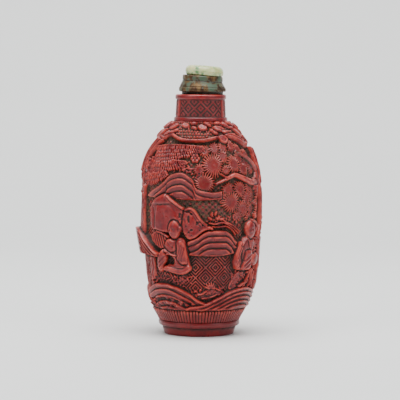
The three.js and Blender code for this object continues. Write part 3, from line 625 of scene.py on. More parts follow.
def carve_shrub(carving):
    """A low shrub that leans out from behind the rock, with long stems that run down behind the hill."""
    carving.scrub(4.6, 34.0, 2.6, 1.5, 40, 0.6, 31, 1.1, 0.42)
    carving.scrub(9.6, 33.4, 3.0, 1.6, 34, 0.5, 32, 1.0, 0.4)
    for u, v, turn in ((3.2, 35.2, 80), (3.9, 35.6, 50), (4.4, 34.5, 25), (4.9, 34.3, 70), (5.4, 34.4, 10),
                       (3.4, 34.4, 150)):
        carving.leaf(u, v, turn, 1.5, 0.75, 1.15)
    stems = [
        [[2.6, 33.4], [4.4, 33.1], [6.4, 33.6], [8.2, 32.8], [10, 31.7], [11.6, 30.3]],
        [[4.6, 34.9], [6.2, 34.5], [7.6, 33.6], [9.4, 32.8], [10.8, 31.8], [12, 30.9]],
        [[3.4, 32.4], [5.4, 32.3], [7.6, 32.4], [9.4, 31.4], [10.6, 30]],
    ]
    for stem in stems:
        carving.stroke(stem, 0.42, 0.5, 0.95)


def carve_face(carving, u0, v0, size, look):
    """A calm, plain face: closed lids, a straight nose and a level mouth. look turns it left or right."""
    for side in (-1, 1):
        eye_u = u0 + size * (0.42 * side + 0.22 * look)
        carving.press([[eye_u - 0.5, v0], [eye_u + 0.5, v0 + 0.5]],
                      lambda u, v: -0.2 * np.exp(-(((u - eye_u) / 0.36) ** 2)
                                                 - ((v - v0 - 0.22 * size) / 0.26) ** 2))
        carving.groove([[eye_u - 0.32, v0 + 0.2 * size], [eye_u, v0 + 0.12 * size],
                        [eye_u + 0.32, v0 + 0.2 * size]], 0.2, 0.14)
    nose_u = u0 + size * 0.34 * look
    carving.groove([[nose_u, v0 + 0.32 * size], [nose_u, v0 - 0.3 * size]], 0.5, -0.24)
    carving.groove([[nose_u - 0.34, v0 - 0.7 * size], [nose_u + 0.34, v0 - 0.7 * size]], 0.24, 0.16)
    carving.groove([[nose_u - 0.5, v0 - 0.98 * size], [nose_u + 0.5, v0 - 0.98 * size]], 0.3, 0.1)


def carve_left_figure(carving):
    """A seated figure in a loose robe, turned to the left, with a sheaf beside the shoulder."""
    folds = lambda u, v: 0.2 * np.cos(2 * math.pi * (u + 0.3 * (v - 28)) / 0.8)
    carving.plate([[-15.2, 29.6], [-13.4, 30.8], [-11.6, 30.7], [-9.4, 29.8], [-9, 27], [-10.4, 25.8],
                   [-12.4, 26.0], [-14.6, 27.6]],
                  1.2, 0.6, texture=folds)
    carving.stroke([[-12.8, 30.7], [-11.2, 30.4], [-9.8, 29.8], [-8.8, 29.2]], 0.7, 0.7, 1.6)
    carving.plate(
        [[-9.4, 28.6], [-7.6, 29.0], [-5.8, 29.4], [-4.5, 29.0], [-3.7, 27.8], [-3.2, 26], [-3.0, 24],
         [-2.7, 22.2],
         [-2.35, 20.9], [-3, 19.5], [-4.4, 18.8], [-6, 18.6], [-8, 19.0], [-9.4, 19.7], [-9.7, 20.7],
         [-9.0, 21.5], [-7.4, 21.7],
         [-7.2, 23], [-8.4, 24.2], [-9.6, 25.4], [-9.9, 27]],
        1.9, 1.5, 0.6, moat=0.45)
    carving.plate([[-12.7, 20.4], [-12.6, 23.2], [-11.7, 25.0], [-10.7, 25.8], [-9.6, 25.0], [-9.2, 23.6],
                   [-9.5, 22.4], [-10.4, 21],
                   [-10.9, 19.6], [-11.7, 19.2]], 1.9, 1.2, 0.55, moat=0.45)
    for drop in (0.0, 1.3, 2.5):
        carving.groove([[-9.5, 24.0 - drop], [-10.5, 23.4 - drop], [-11.6, 22.2 - drop]], 0.55, 0.3)
    carving.plate([[-9.6, 26.4], [-9.3, 28.4], [-7.8, 29], [-6.2, 28.4], [-6.0, 26.4], [-6.8, 25.2],
                   [-8.4, 25.0]], 2.05, 0.9, 0.4,
                  moat=0.25)
    carving.groove([[-9.0, 28.3], [-8.2, 27.2], [-7.2, 26.4]], 0.45, 0.28)
    carving.groove([[-6.4, 28.2], [-7.0, 27.2], [-7.2, 26.4]], 0.45, 0.28)
    carving.plate([[-6.2, 28.2], [-4.9, 28.6], [-3.9, 27.4], [-3.4, 25.4], [-3.2, 23.4], [-3.3, 21.9],
                   [-4.6, 21.6], [-5.6, 22.4],
                   [-6.3, 23.8], [-6.2, 25.8]], 2.35, 1.2, 0.45, moat=0.3)
    for shift in (0, 0.55, 1.15):
        carving.groove([[-5.4 + shift, 27.8 - shift], [-5.2 + shift, 26.2], [-5.6 + 0.9 * shift, 24.4],
                        [-5.4 + 0.6 * shift, 22.8]],
                       0.42, 0.3)
    carving.stroke([[-9.6, 20.4], [-8.0, 20.2], [-6.0, 19.7], [-4.4, 19.7], [-3.0, 20.6]], 1.5, 1.8, 2.15,
                   0.75, 0.3)
    carving.groove([[-8.8, 20.0], [-6.6, 19.6], [-4.8, 19.4]], 0.4, 0.2)
    carving.groove([[-6.8, 21.3], [-5.2, 21.3], [-3.7, 21.7]], 0.45, 0.26)
    carving.stroke([[-9.8, 25.6], [-8.8, 25.0], [-7.6, 24.4], [-6.4, 24.2]], 1.0, 0.7, 2.25)
    carving.dome(-8.9, 24.5, 0.5, 0.4, 2.3)
    carving.dome(-6.95, 31.5, 1.75, 2.75, 2.35, 0.06, flatness=1.25, base=0.45, moat=0.5)
    carving.dome(-5.25, 31.7, 0.45, 0.85, 2.05, base=0.7, moat=0.12)
    carving.groove([[-5.3, 32.2], [-5.05, 31.7], [-5.3, 31.2]], 0.3, 0.16)
    carve_face(carving, -7.4, 31.3, 1.0, -0.2)


def carve_right_figure(carving):
    """A second seated figure in a robe, turned away to the right."""
    carving.plate([[13.8, 29.4], [12.3, 28], [11.2, 26.4], [10.2, 24.2], [9.8, 22.4], [10.1, 20.9], [11, 20],
                   [13, 19.6],
                   [16.2, 19.7], [16.8, 22], [17.4, 25], [18.2, 27.4], [17, 29.2]], 1.75, 1.0, moat=0.45)
    carving.stroke([[12.2, 27.2], [11.3, 25.2], [10.8, 23.2], [10.9, 21.4]], 1.7, 1.5, 2.2, 0.6)
    carving.groove([[11.9, 26.6], [11.2, 25], [10.8, 23.4]], 0.4, 0.25)
    carving.groove([[11.3, 23.2], [10.8, 22.2], [10.5, 21.2]], 0.4, 0.22)
    carving.plate([[13.6, 25.2], [15.2, 25.6], [16.6, 25.0], [16.7, 22.6], [16.3, 20.1], [14.4, 19.6],
                   [12.4, 19.9], [12.2, 21.2],
                   [13.1, 22.8]], 2.15, 0.9, 0.45, moat=0.3)
    for start in (24.0, 22.8, 21.6):
        carving.groove([[16.2, start + 0.3], [14.8, start - 0.6], [13.2, start - 1.6]], 0.42, 0.3)
    carving.stroke([[14.4, 29.3], [13.3, 28.2], [12.2, 26.9]], 0.8, 0.7, 2.2)
    carving.stroke([[14.4, 29.3], [15.1, 27.9], [15.5, 26.3]], 0.8, 0.7, 2.1)
    carving.press([[11.8, 22], [13.2, 25]],
                  lambda u, v: -0.8 * np.exp(-(((u - 12.55) / 0.38) ** 2) - ((v - 23.7) / 1.4) ** 2))
    carving.dome(16.1, 31.2, 2.3, 2.75, 2.2, flatness=1.25, base=0.45, moat=0.5)
    carving.stroke([[16.4, 33.9], [18, 33.2], [19, 31.6], [18.8, 29.4]], 0.9, 0.8, 2.1, 0.6)
    carving.dome(18.1, 31.2, 0.5, 0.8, 2.1, base=0.7, moat=0.12)
    carve_face(carving, 15.6, 31.0, 1.1, -0.3)
    carving.dome(19.4, 22.6, 2.3, 2.15, 1.95, flatness=1.4, moat=0.4)
    carving.scrub(18.8, 26.8, 1.6, 2.2, 18, 1.5, 44, 1.3, 0.6)
    carving.plate([[21.4, 27.6], [25, 29], [29, 26.6], [30.4, 20], [29, 14.4], [24.6, 13], [21.6, 16],
                   [22, 22]], 1.8, 0.8,
                  texture=lambda u, v: 0.3 * rough(u, v, 1.2, 43))


def carve_near_ground(carving):
    """Rocks, grasses and mounds along the bottom of the scene."""
    rubble = lambda u, v: 0.45 * rough(u, v, 1.0, 51)
    carving.plate([[9.6, 14], [10.4, 17.6], [12, 19.4], [15, 19.6], [19, 20], [21, 18], [21, 14], [15, 13.4]],
                  0.55, 0.7, texture=rubble)
    carving.scrub(13.6, 17.4, 3.4, 1.8, 36, 0.8, 50, 1.2, 0.5)
    carving.scrub(18.4, 17.4, 2.4, 2.2, 26, 1.2, 56, 1.6, 0.7)
    for root in ([[14.6, 14.6], [15.6, 16.6], [16.6, 18.2], [17.4, 19.6]],
                 [[17.2, 14.4], [18.2, 16.8], [18.0, 19.4]],
                 [[19.6, 14.4], [19.2, 16.6], [20.4, 18.8]], [[13, 15], [14.4, 15.8], [16.4, 16.2]]):
        carving.stroke(root, 0.8, 0.55, 1.5)
    carving.scrub(-9.4, 16.6, 6.4, 1.5, 60, 0.42, 58, 1.2, 0.5)
    carving.plate([[-1.8, 12.2], [-0.8, 13.4], [0.8, 13.6], [2.2, 14.4], [3.6, 14.8], [5.4, 14.9],
                   [7.6, 14.0], [8.2, 12.9],
                   [5, 12.2], [1.4, 11.2]], 0.5, 0.5, texture=lambda u, v: 0.45 * rough(u, v, 0.8, 52))
    carving.scrub(-1.2, 13.2, 1.2, 0.6, 12, 0.95, 53, 0.9, 0.45)
    carving.scrub(3.4, 13.8, 3.6, 0.8, 22, 0.8, 57, 1.0, 0.45)
    for turn in (25, 52, 78, 104, 132, 160):
        carving.leaf(3.3, 14.6, turn, 1.9, 0.55, 1.05)
    carving.stroke([[-0.4, 12.9], [0.9, 13.1], [2.2, 13.9]], 0.5, 0.35, 1.05)
    carving.stroke([[4, 14.8], [4.8, 14.8], [5.6, 14.4]], 0.5, 0.35, 1.1)
    carving.stroke([[5.8, 14.3], [6.8, 14.0], [7.6, 13.4]], 0.5, 0.4, 1.1)
    carving.stroke([[0.8, 11.8], [2.6, 12.0], [4.2, 12.4], [5.4, 12.9]], 0.4, 0.4, 1.0)
    crumbs = lambda u, v, share: 0.8 * rough(u, v, 1.0, 54) * soft_step(share, 0.38,
                                                                        0.6) - 0.3 * soft_step(share, 0.4,
                                                                                               0.6)
    grain = lambda u, v, share: 0.07 * rough(u, v, 0.8, 55)
    mound = dict(pitch=1.75, depth=0.45, rim=0.22, moat=0.4)
    carving.hill([[-20, 13.2], [-17.5, 14.5], [-15, 15.5], [-12, 15.9], [-9.4, 15.7], [-7.4, 15.2],
                  [-5.6, 14.5], [-4, 13.8],
                  [-2.4, 13], [-1, 11.9], [0.4, 11.1], [3, 10.2]],
                 [[-20, 8.2], [3, 8.2]], 1.4, 0.45, texture=crumbs, seed=11, **mound)
    carving.stroke([[-9, 15.1], [-6.8, 14.7], [-4.6, 13.7], [-2.8, 12.8], [-1.2, 11.6], [0.4, 10.8],
                    [2, 10.2]], 0.7, 0.55,
                   1.7, 0.7, 0.2)
    carving.hill([[22, 11.6], [28, 14.6], [34, 15.4], [42, 12]], [[22, 8.2], [42, 8.2]], 1.25, 0.4,
                 texture=crumbs, seed=12, **mound)
    carving.hill([[-44, 12.4], [-37, 14.8], [-29, 14.4], [-22, 12], [-17.4, 10]], [[-44, 8.2], [-17.4, 8.2]],
                 0.85, 0.3,
                 texture=crumbs, seed=13, **mound)
    carving.hill([[-4.6, 8.8], [-2.6, 9.5], [-0.6, 9.8], [1.6, 10.3], [3.6, 11.1], [5.8, 12.1], [8, 13.1],
                  [10, 13.9], [12.2, 14.5],
                  [14.4, 14.8], [17, 14.7], [20, 14], [25, 12.4]],
                 [[-4.6, 8.2], [25, 8.2]], 1.6, 0.5, pitch=1.3, depth=0.5, rim=0.26, texture=grain, moat=0.45,
                 seed=14)
    carving.hill([[39, 10.4], [46, 13.6], [53, 14.8], [60, 11.4]], [[39, 8.2], [60, 8.2]], 1.45, 0.5,
                 texture=grain, seed=15, **mound)


def carve_landscape():
    carving = Carving()
    carve_ground(carving)
    carve_flutes(carving)
    carve_trees(carving)
    carve_foliage(carving)
    carve_canopy(carving)
    carve_hills(carving)
    carve_left_figure(carving)
    carve_right_figure(carving)
    carve_near_ground(carving)
    return carving


def blurred(height, cells):
    """The mean over a few cells each way, with soft weights."""
    offsets = np.arange(-2 * cells, 2 * cells + 1)
    weights = np.exp(-0.5 * (offsets / cells) ** 2)
    weights /= weights.sum()
    around = sum(w * np.roll(height, o, axis=1) for w, o in zip(weights, offsets))
    padded = np.pad(around, ((2 * cells, 2 * cells), (0, 0)), mode="edge")
    rows = height.shape[0]
    return sum(w * padded[2 * cells + o : 2 * cells + o + rows] for w, o in zip(weights, offsets))


# ---------------------------------------------------------------- meshes


def tile_halves():
    halves = []
    for tile in range(TILES):
        left, right = tile * TILE_CELLS, (tile + 1) * TILE_CELLS
        halves.append([[left, 0], [right, ROWS], [right, 0]])
        halves.append([[right, ROWS], [left, 0], [left, ROWS]])
    return np.array(halves)


def halved(triangles):
    """Each triangle is [start, end, corner], with its square corner last."""
    start, end, corner = triangles[:, 0], triangles[:, 1], triangles[:, 2]
    middle = (start + end) // 2
    return np.concatenate([np.stack([corner, start, middle], 1), np.stack([end, corner, middle], 1)])


def keys_of(places):
    return places[..., 1] * COLUMNS + np.mod(places[..., 0], COLUMNS)


def adaptive_triangles(points, fineness):
    """Right triangles halve where that brings them nearer to the carving, and meet without gaps."""
    flat = points.reshape(-1, 3)
    deepest = 2 * int(math.log2(TILE_CELLS)) - 1
    levels = [tile_halves()]
    for _ in range(deepest):
        levels.append(halved(levels[-1]))
    errors = np.zeros(len(flat))
    for triangles in reversed(levels):
        start, end, corner = triangles[:, 0], triangles[:, 1], triangles[:, 2]
        middle = keys_of((start + end) // 2)
        miss = np.linalg.norm((flat[keys_of(start)] + flat[keys_of(end)]) / 2 - flat[middle], axis=1)
        if triangles is not levels[-1]:
            miss = np.maximum(miss, errors[keys_of((corner + start) // 2)])
            miss = np.maximum(miss, errors[keys_of((corner + end) // 2)])
        np.maximum.at(errors, middle, miss)
    kept = []
    active = levels[0]
    for depth in range(deepest + 2):
        split = errors[keys_of((active[:, 0] + active[:, 1]) // 2)] > fineness
        if depth > deepest:
            split[:] = False
        kept.append(active[~split][:, [0, 2, 1]])
        active = halved(active[split])
    return keys_of(np.concatenate(kept))


class Skin:
    """A closed mesh built ring by ring. Each vertex may carry values for the material."""

    def __init__(self, values=()):
        self.points = []
        self.faces = []
        self.values = {name: [] for name in values}

    def add(self, points, **values):
        first = len(self.points)
        self.points.extend(points)
        for name, column in self.values.items():
            given = values.get(name, 0.0)
            column.extend(np.broadcast_to(given, (len(points),)).tolist())
        return list(range(first, len(self.points)))

    def ring(self, count, radius, z, shift=0.0, slope=0.0, **values):
        """A level ring, or one that leans by a slope. radius and z may differ from place to place."""
        angle = -math.pi + 2 * math.pi * np.arange(count) / count
        x = radius * np.sin(angle)
        y = -radius * np.cos(angle)
        height = np.broadcast_to(z, x.shape) - slope * x
        indices = self.add(np.stack([x + shift, y, height], 1).tolist(), **values)
        return list(zip(angle.tolist(), indices))

    def join(self, lower, upper):
        n, m = len(lower), len(upper)
        i = j = 0
        while i < n or j < m:
            start, end = lower[i % n][1], upper[j % m][1]
            next_lower = lower[(i + 1) % n][0] + (2 * math.pi if i + 1 >= n else 0)
            next_upper = upper[(j + 1) % m][0] + (2 * math.pi if j + 1 >= m else 0)
            if j == m or (i < n and next_lower <= next_upper):
                i += 1
                self.faces.append((start, lower[i % n][1], end))
            else:
                j += 1
                self.faces.append((start, upper[j % m][1], end))

    def join_all(self, rings):
        for lower, upper in zip(rings[:-1], rings[1:]):
            self.join(lower, upper)

    def close(self, ring, z, first, shift=0.0, **values):
        middle = self.add([[shift, 0.0, z]], **values)[0]
        for (_, a), (_, b) in zip(ring, ring[1:] + ring[:1]):
            self.faces.append((middle, b, a) if first else (a, b, middle))

    def build(self, name):
        mesh = bpy.data.meshes.new(name)
        mesh.from_pydata((np.array(self.points) * MM).tolist(), [], self.faces)
        for value, column in self.values.items():
            attribute = mesh.attributes.new(value, "FLOAT", "POINT")
            attribute.data.foreach_set("value", np.array(column, np.float32))
        mesh.shade_smooth()
        piece = bpy.data.objects.new(name, mesh)
        bpy.context.scene.collection.objects.link(piece)
        return piece


def neck_rows(skin):
    """The neck: a ring, a field of lattice in three panels, and the rounded lip."""
    count = 288
    angle = -math.pi + 2 * math.pi * np.arange(count) / count
    # Darker where the neck ring meets the body and where it steps in to the lattice: painted shade, with grime.
    rows = [(7.62, 61.72, 0.6), (7.74, 61.95, 0.2), (7.78, 62.3, 0.0), (7.76, 62.75, 0.0), (7.66, 63.0, 0.1),
            (7.36, 63.14, 0.9)]
    rings = [skin.ring(count, radius, z, dirt=dirt) for radius, z, dirt in rows]
    bars, half_bar = 3, 0.085
    from_bar = np.abs(np.mod(angle * bars, 2 * math.pi) - math.pi) / bars
    bar = soft_step(half_bar - from_bar, -0.02, 0.02)
    panel_edge = soft_step(from_bar - half_bar, 0.02, 0.06)
    for z in np.linspace(63.2, 68.2, 52):
        radius = 7.26 - 0.05 * (z - 63.2)
        x = angle * 7.2
        cell = 2 * math.pi * 7.2 / 24
        near = np.abs(np.mod(x / cell, 2) - 1) + np.abs(np.mod((z - 65.7) / cell, 2) - 1)
        nested = np.abs(near - 1)
        lattice = 0.14 * np.cos(2 * math.pi * nested * 1.5) * panel_edge * soft_step(min(z - 63.2, 68.2 - z),
                                                                                     0.15, 0.4)
        height = np.maximum(lattice - 0.05, 0.24 * bar)
        # The lattice's sunken lines are darker, as painted shade with grime; the raised bars are lighter, partly as
        # wear and partly as a painted highlight.
        dirt = np.clip(0.5 - 3.2 * lattice, 0, 1) * (1 - bar)
        rings.append(skin.ring(count, radius + height, z, dirt=dirt, edge=0.5 * bar))
    # The lip is darker where it rises from the lattice, as painted shade, and lighter on its round top, partly as wear
    # and partly as a painted highlight.
    lip = [(7.24, 68.36, 0.4, 0), (7.36, 68.5, 0, 0.5), (7.4, 68.8, 0, 0.2), (7.36, 69.3, 0, 0.2),
           (7.22, 69.58, 0, 0.9), (6.9, 69.7, 0, 0.6)]
    rings += [skin.ring(count, radius, z, dirt=dirt, edge=edge) for radius, z, dirt, edge in lip]
    return rings


def make_bottle():
    carving = carve_landscape()
    fine = blurred(carving.height, 1)
    u, v = np.meshgrid(carving.u_of, carving.v_of)
    fine = fine + 0.03 * rough(u, v, 0.7, 61) * soft_step(fine, 0.2, 0.8)
    points = carved_points(u, v, fine)
    triangles = adaptive_triangles(points, FINENESS)
    # How far each place lies below what is round it, and how low it lies: these darken the recesses as painted shade,
    # with some grime.
    narrow = np.clip((blurred(fine, 3) - fine) / 0.13, 0, 1)
    wide = np.clip((blurred(fine, 9) - fine) / 0.5, 0, 1)
    deep = 1 - soft_step(fine, -0.15, 0.3)
    dirt = np.clip(0.7 * narrow + 0.7 * wide + 0.3 * deep, 0, 1)
    # How far each place stands above what is round it: this lightens raised edges, partly as wear and partly as a
    # painted highlight.
    edge = np.clip((fine - blurred(fine, 3)) / 0.14, 0, 1) * soft_step(fine, -0.1, 0.5)

    skin = Skin(("dirt", "edge", "dust"))
    foot = [(8.0, 1.2), (8.45, 1.05), (8.62, 0.7), (8.7, 0.15), (8.85, 0), (9.9, 0), (10.1, 0.12),
            (10.25, 0.5), (10.5, 1.4),
            (10.8, 2.3), (10.95, 2.5), (11.4, 2.58), (11.68, 2.8), (11.8, 3.15), (11.82, 3.6), (11.74, 4.0),
            (11.5, 4.24)]
    # A painted shadow in the groove under the ring, a little painted shade on the rest of the foot, and more on its
    # underside.
    groove_shade = {2.3: 0.6, 2.5: 1.0, 4.24: 0.6}
    rings = [skin.ring(120, radius, z, dirt=groove_shade.get(z, 0.15)) for radius, z in foot]
    skin.close(rings[0], 1.3, first=True, dirt=0.4)
    # The groove between the ring and the petals is darkest: a painted shadow.
    rings.append(skin.ring(184, 11.3, 4.32, dirt=1.0))

    used, inverse = np.unique(triangles, return_inverse=True)
    first = len(skin.points)
    flat = points.reshape(-1, 3)[used]
    skin.add(flat.tolist(), dirt=dirt.ravel()[used], edge=edge.ravel()[used], dust=carving.dust.ravel()[used])
    skin.faces.extend(map(tuple, (inverse.reshape(-1, 3) + first).tolist()))
    angles = (used % COLUMNS) / COLUMNS * 2 * math.pi - math.pi
    rows = used // COLUMNS
    bottom = [(angles[k], first + k) for k in np.nonzero(rows == 0)[0]]
    top = [(angles[k], first + k) for k in np.nonzero(rows == ROWS)[0]]
    skin.join_all(rings + [sorted(bottom)])

    inside = [(6.5, 69.7, 96), (4.5, 69.7, 96), (4.15, 69.6, 64), (BORE_RADIUS, 69.3, 64),
              (BORE_RADIUS, 58.5, 64)]
    for z in np.arange(55.5, 8, -2.5):
        inside.append((max(BORE_RADIUS, float(ground_radius(np.array(z))) - WALL), z, 64))
    inside += [(9.5, 6.2, 64), (8.6, 5.0, 64), (7.2, 4.6, 64)]
    # The inside is darkened a little: painted shade.
    inner = [skin.ring(count, radius, z, dirt=0.3) for radius, z, count in inside]
    skin.join_all([sorted(top)] + neck_rows(skin) + inner)
    skin.close(inner[-1], 4.6, first=False, dirt=0.3)
    return skin.build("bottle_carved")


bottle = make_bottle()
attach(bottle, "root")
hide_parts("bottle")


# ---------------------------------------------------------------- the stopper

STOPPER_AROUND = 160
COLLAR_SHIFT = 0.5
COLLAR_SLOPE = 0.06
JADE_SHIFT = 0.95


def make_collar():
    skin = Skin(("dirt", "edge"))
    count = STOPPER_AROUND

    def lean(z):
        return COLLAR_SLOPE * float(soft_step(z, 70, 73.5))

    # The plug inside the neck, the collar's grooves and steps, and its top under the jade are darkened: painted shade,
    # with grime.
    plug = [(2.85, 66.75, 0.5), (3.0, 67.0, 0.5), (3.1, 69.66, 0.6)]
    rows = [
        (3.2, 69.72, 0.9), (5.9, 69.72, 0.9), (6.02, 69.8, 0.7), (6.04, 70.3, 0.9), (6.1, 70.46, 1.0),
            (6.6, 70.52, 0.5),
        (6.76, 70.62, 0.1), (6.82, 70.8, 0.0), (6.82, 71.4, 0.0), (6.76, 71.58, 0.0), (6.62, 71.72, 0.4),
            (6.58, 71.84, 0.9),
        (6.6, 71.95, 0.3), (6.5, 72.14, 0.0), (6.28, 72.5, 0.0), (6.05, 72.95, 0.0), (5.92, 73.28, 0.2),
            (5.84, 73.42, 0.8),
        (5.76, 73.54, 0.9), (5.82, 73.66, 0.3), (5.88, 73.8, 0.0), (5.86, 74.5, 0.0), (5.84, 74.8, 0.0),
            (5.76, 75.0, 0.1),
        (5.6, 75.08, 0.3), (5.3, 75.1, 0.8),
    ]
    rings = [skin.ring(48, radius, z, COLLAR_SHIFT, dirt=dirt) for radius, z, dirt in plug]
    skin.close(rings[0], 66.7, first=True, shift=COLLAR_SHIFT)
    angle = -math.pi + 2 * math.pi * np.arange(count) / count
    for radius, z, dirt in rows:
        dents = 0.05 * np.sin(3 * angle + z * 0.7) + 0.03 * np.sin(7 * angle + 1.3)
        beads = 0.05 * np.cos(48 * angle) if 70.6 < z < 71.6 else 0.0
        rings.append(skin.ring(count, radius + 0.6 * dents + beads - 0.03, z, COLLAR_SHIFT, lean(z),
                               dirt=dirt))
    skin.join_all(rings)
    skin.close(rings[-1], 75.1, first=False, shift=COLLAR_SHIFT, dirt=0.8)
    return skin.build("collar_metal")


def make_jade():
    skin = Skin(("dirt",))
    count = STOPPER_AROUND
    angle = -math.pi + 2 * math.pi * np.arange(count) / count
    profile = spline([[5.15, 75.13], [5.42, 75.42], [5.6, 76.1], [5.52, 76.8], [5.22, 77.4], [4.6, 77.84],
                      [3.6, 78.02], [1.6, 78.1], [0.5, 78.13]], 4)
    rings = []
    # The jade is darkened towards its foot, where it sits in the collar: painted shade.
    for radius, z in profile:
        wobble = 0.05 * np.sin(2 * angle + 0.8) + 0.035 * np.sin(5 * angle + 0.5 * z)
        rings.append(skin.ring(count, radius * (1 + 0.012 * wobble / 0.05) - 0.03, z - 0.02, JADE_SHIFT,
                               COLLAR_SLOPE,
                               dirt=float(np.clip((75.6 - z) / 0.5, 0, 1))))
    skin.close(rings[0], 75.13, first=True, shift=JADE_SHIFT, dirt=1.0)
    skin.join_all(rings)
    skin.close(rings[-1], 78.13, first=False, shift=JADE_SHIFT)
    return skin.build("jade_finial")


collar = make_collar()
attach(collar, "root")
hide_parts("collar")
jade = make_jade()
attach(jade, "root")
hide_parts("jade_cap")


# ---------------------------------------------------------------- materials


class Shader:
    """A material's nodes, with short calls for the ones used here."""

    def __init__(self, name):
        self.material = bpy.data.materials.new(name)
        self.material.use_nodes = True
        self.tree = self.material.node_tree
        self.surface = self.tree.nodes["Principled BSDF"]
        self.place = self.node("ShaderNodeTexCoord").outputs["Object"]

    def node(self, kind, **settings):
        node = self.tree.nodes.new(kind)
        for name, value in settings.items():
            setattr(node, name, value)
        return node

    def feed(self, socket, value):
        if isinstance(value, bpy.types.NodeSocket):
            self.tree.links.new(value, socket)
        else:
            socket.default_value = value

    def value(self, name):
        return self.node("ShaderNodeAttribute", attribute_name=name).outputs["Fac"]

    def math(self, operation, a, b=0.0, clamp=False):
        node = self.node("ShaderNodeMath", operation=operation, use_clamp=clamp)
        self.feed(node.inputs[0], a)
        self.feed(node.inputs[1], b)
        return node.outputs[0]

    def span(self, value, low, high, to_low=0.0, to_high=1.0):
        node = self.node("ShaderNodeMapRange", interpolation_type="SMOOTHSTEP")
        self.feed(node.inputs["Value"], value)
        for name, number in (("From Min", low), ("From Max", high), ("To Min", to_low), ("To Max", to_high)):
            self.feed(node.inputs[name], number)
        return node.outputs["Result"]

    def noise(self, size, detail=3.0, roughness=0.55, stretch=(1, 1, 1)):
        """Noise with lumps of a size in millimetres."""
        mapping = self.node("ShaderNodeMapping")
        mapping.inputs["Scale"].default_value = stretch
        self.feed(mapping.inputs["Vector"], self.place)
        node = self.node("ShaderNodeTexNoise")
        self.feed(node.inputs["Vector"], mapping.outputs["Vector"])
        node.inputs["Scale"].default_value = 1 / (size * MM)
        node.inputs["Detail"].default_value = detail
        node.inputs["Roughness"].default_value = roughness
        return node.outputs["Fac"]

    def mix(self, share, a, b, blend="MIX"):
        node = self.node("ShaderNodeMix", data_type="RGBA", blend_type=blend)
        self.feed(node.inputs["Factor"], share)
        self.feed(node.inputs["A"], a)
        self.feed(node.inputs["B"], b)
        return node.outputs["Result"]

    def bump(self, *layers):
        """Each layer is (height, how deep it is in millimetres)."""
        normal = None
        for height, depth in layers:
            node = self.node("ShaderNodeBump")
            node.inputs["Distance"].default_value = depth * MM
            self.feed(node.inputs["Height"], height)
            if normal is not None:
                self.feed(node.inputs["Normal"], normal)
            normal = node.outputs["Normal"]
        self.feed(self.surface.inputs["Normal"], normal)

    def finish(self, color, rough, **constants):
        self.feed(self.surface.inputs["Base Color"], color)
        self.feed(self.surface.inputs["Roughness"], rough)
        for name, value in constants.items():
            self.surface.inputs[name.replace("_", " ")].default_value = value
        return self.material


def lacquer_material():
    s = Shader("lacquer_red")
    fresh = s.mix(s.span(s.noise(6, 2), 0.35, 0.65), (0.20, 0.0085, 0.0095, 1), (0.145, 0.006, 0.0085, 1))
    fresh = s.mix(s.span(s.noise(1.3, 4), 0.46, 0.72), fresh, (0.10, 0.006, 0.009, 1))
    # Lighter red on raised edges: partly wear and partly a painted highlight.
    worn = s.mix(s.math("MULTIPLY", s.span(s.value("edge"), 0.15, 0.8), s.span(s.noise(2.5, 4), 0.3, 0.6)),
                 fresh, (0.42, 0.045, 0.03, 1))
    # Near-black in recesses, grooves and steps: painted shade, with some grime.
    dirt = s.math("MULTIPLY", s.value("dirt"), s.span(s.noise(1.1, 4), 0.2, 0.6, 0.6, 1.0))
    shaded_and_grimy = s.mix(s.span(dirt, 0.12, 0.7), worn, (0.026, 0.0095, 0.007, 1))
    dusty = s.math("MULTIPLY", s.value("dust"), s.span(s.noise(0.45, 5), 0.4, 0.66))
    dusty = s.math("MULTIPLY", dusty, s.span(s.noise(4.5, 3), 0.3, 0.6, 0.35, 1.0))
    dusty = s.math("MULTIPLY", dusty, s.span(dirt, 0.1, 0.5, 0.3, 1.0))
    final = s.mix(s.math("MULTIPLY", dusty, 0.85), shaded_and_grimy, (0.135, 0.078, 0.036, 1))
    s.bump((s.noise(0.35, 4), 0.03), (s.noise(0.08, 2), 0.008))
    rough = s.math("ADD", s.span(dirt, 0.1, 0.8, 0.33, 0.7), s.span(s.noise(1.3, 3), 0.3, 0.7, -0.06, 0.08))
    return s.finish(final, rough, IOR=1.5, Specular_IOR_Level=0.4)


def collar_material():
    s = Shader("stopper_bronze")
    base = s.mix(s.span(s.noise(1.6, 4), 0.35, 0.65), (0.055, 0.026, 0.016, 1), (0.16, 0.095, 0.04, 1))
    patina = s.span(s.noise(2.4, 5, 0.6), 0.46, 0.6)
    green = s.mix(patina, base, (0.045, 0.075, 0.04, 1))
    # Darker in the grooves and steps and under the jade: painted shade, with grime.
    final = s.mix(s.span(s.value("dirt"), 0.3, 0.9), green, (0.035, 0.024, 0.016, 1))
    s.feed(s.surface.inputs["Metallic"], s.span(patina, 0.1, 0.7, 0.8, 0.05))
    s.bump((s.noise(0.6, 4), 0.05), (s.noise(0.15, 3), 0.02))
    return s.finish(final, s.span(s.noise(1.0, 3), 0.3, 0.7, 0.35, 0.6))


def jade_material():
    s = Shader("jade_green")
    base = s.mix(s.span(s.noise(4, 3), 0.35, 0.65), (0.33, 0.38, 0.14, 1), (0.52, 0.54, 0.26, 1))
    base = s.mix(s.span(s.noise(2.2, 5, 0.62), 0.5, 0.64), base, (0.10, 0.22, 0.07, 1))
    # Darker towards its foot in the collar: painted shade.
    final = s.mix(s.span(s.value("dirt"), 0.2, 1.0), base, (0.06, 0.05, 0.02, 1))
    s.bump((s.noise(1.0, 3), 0.02), (s.noise(0.2, 2), 0.004))
    return s.finish(final, s.span(s.noise(1.5, 3), 0.3, 0.7, 0.16, 0.34), Subsurface_Weight=0.25,
                    Subsurface_Scale=0.0015, IOR=1.6)


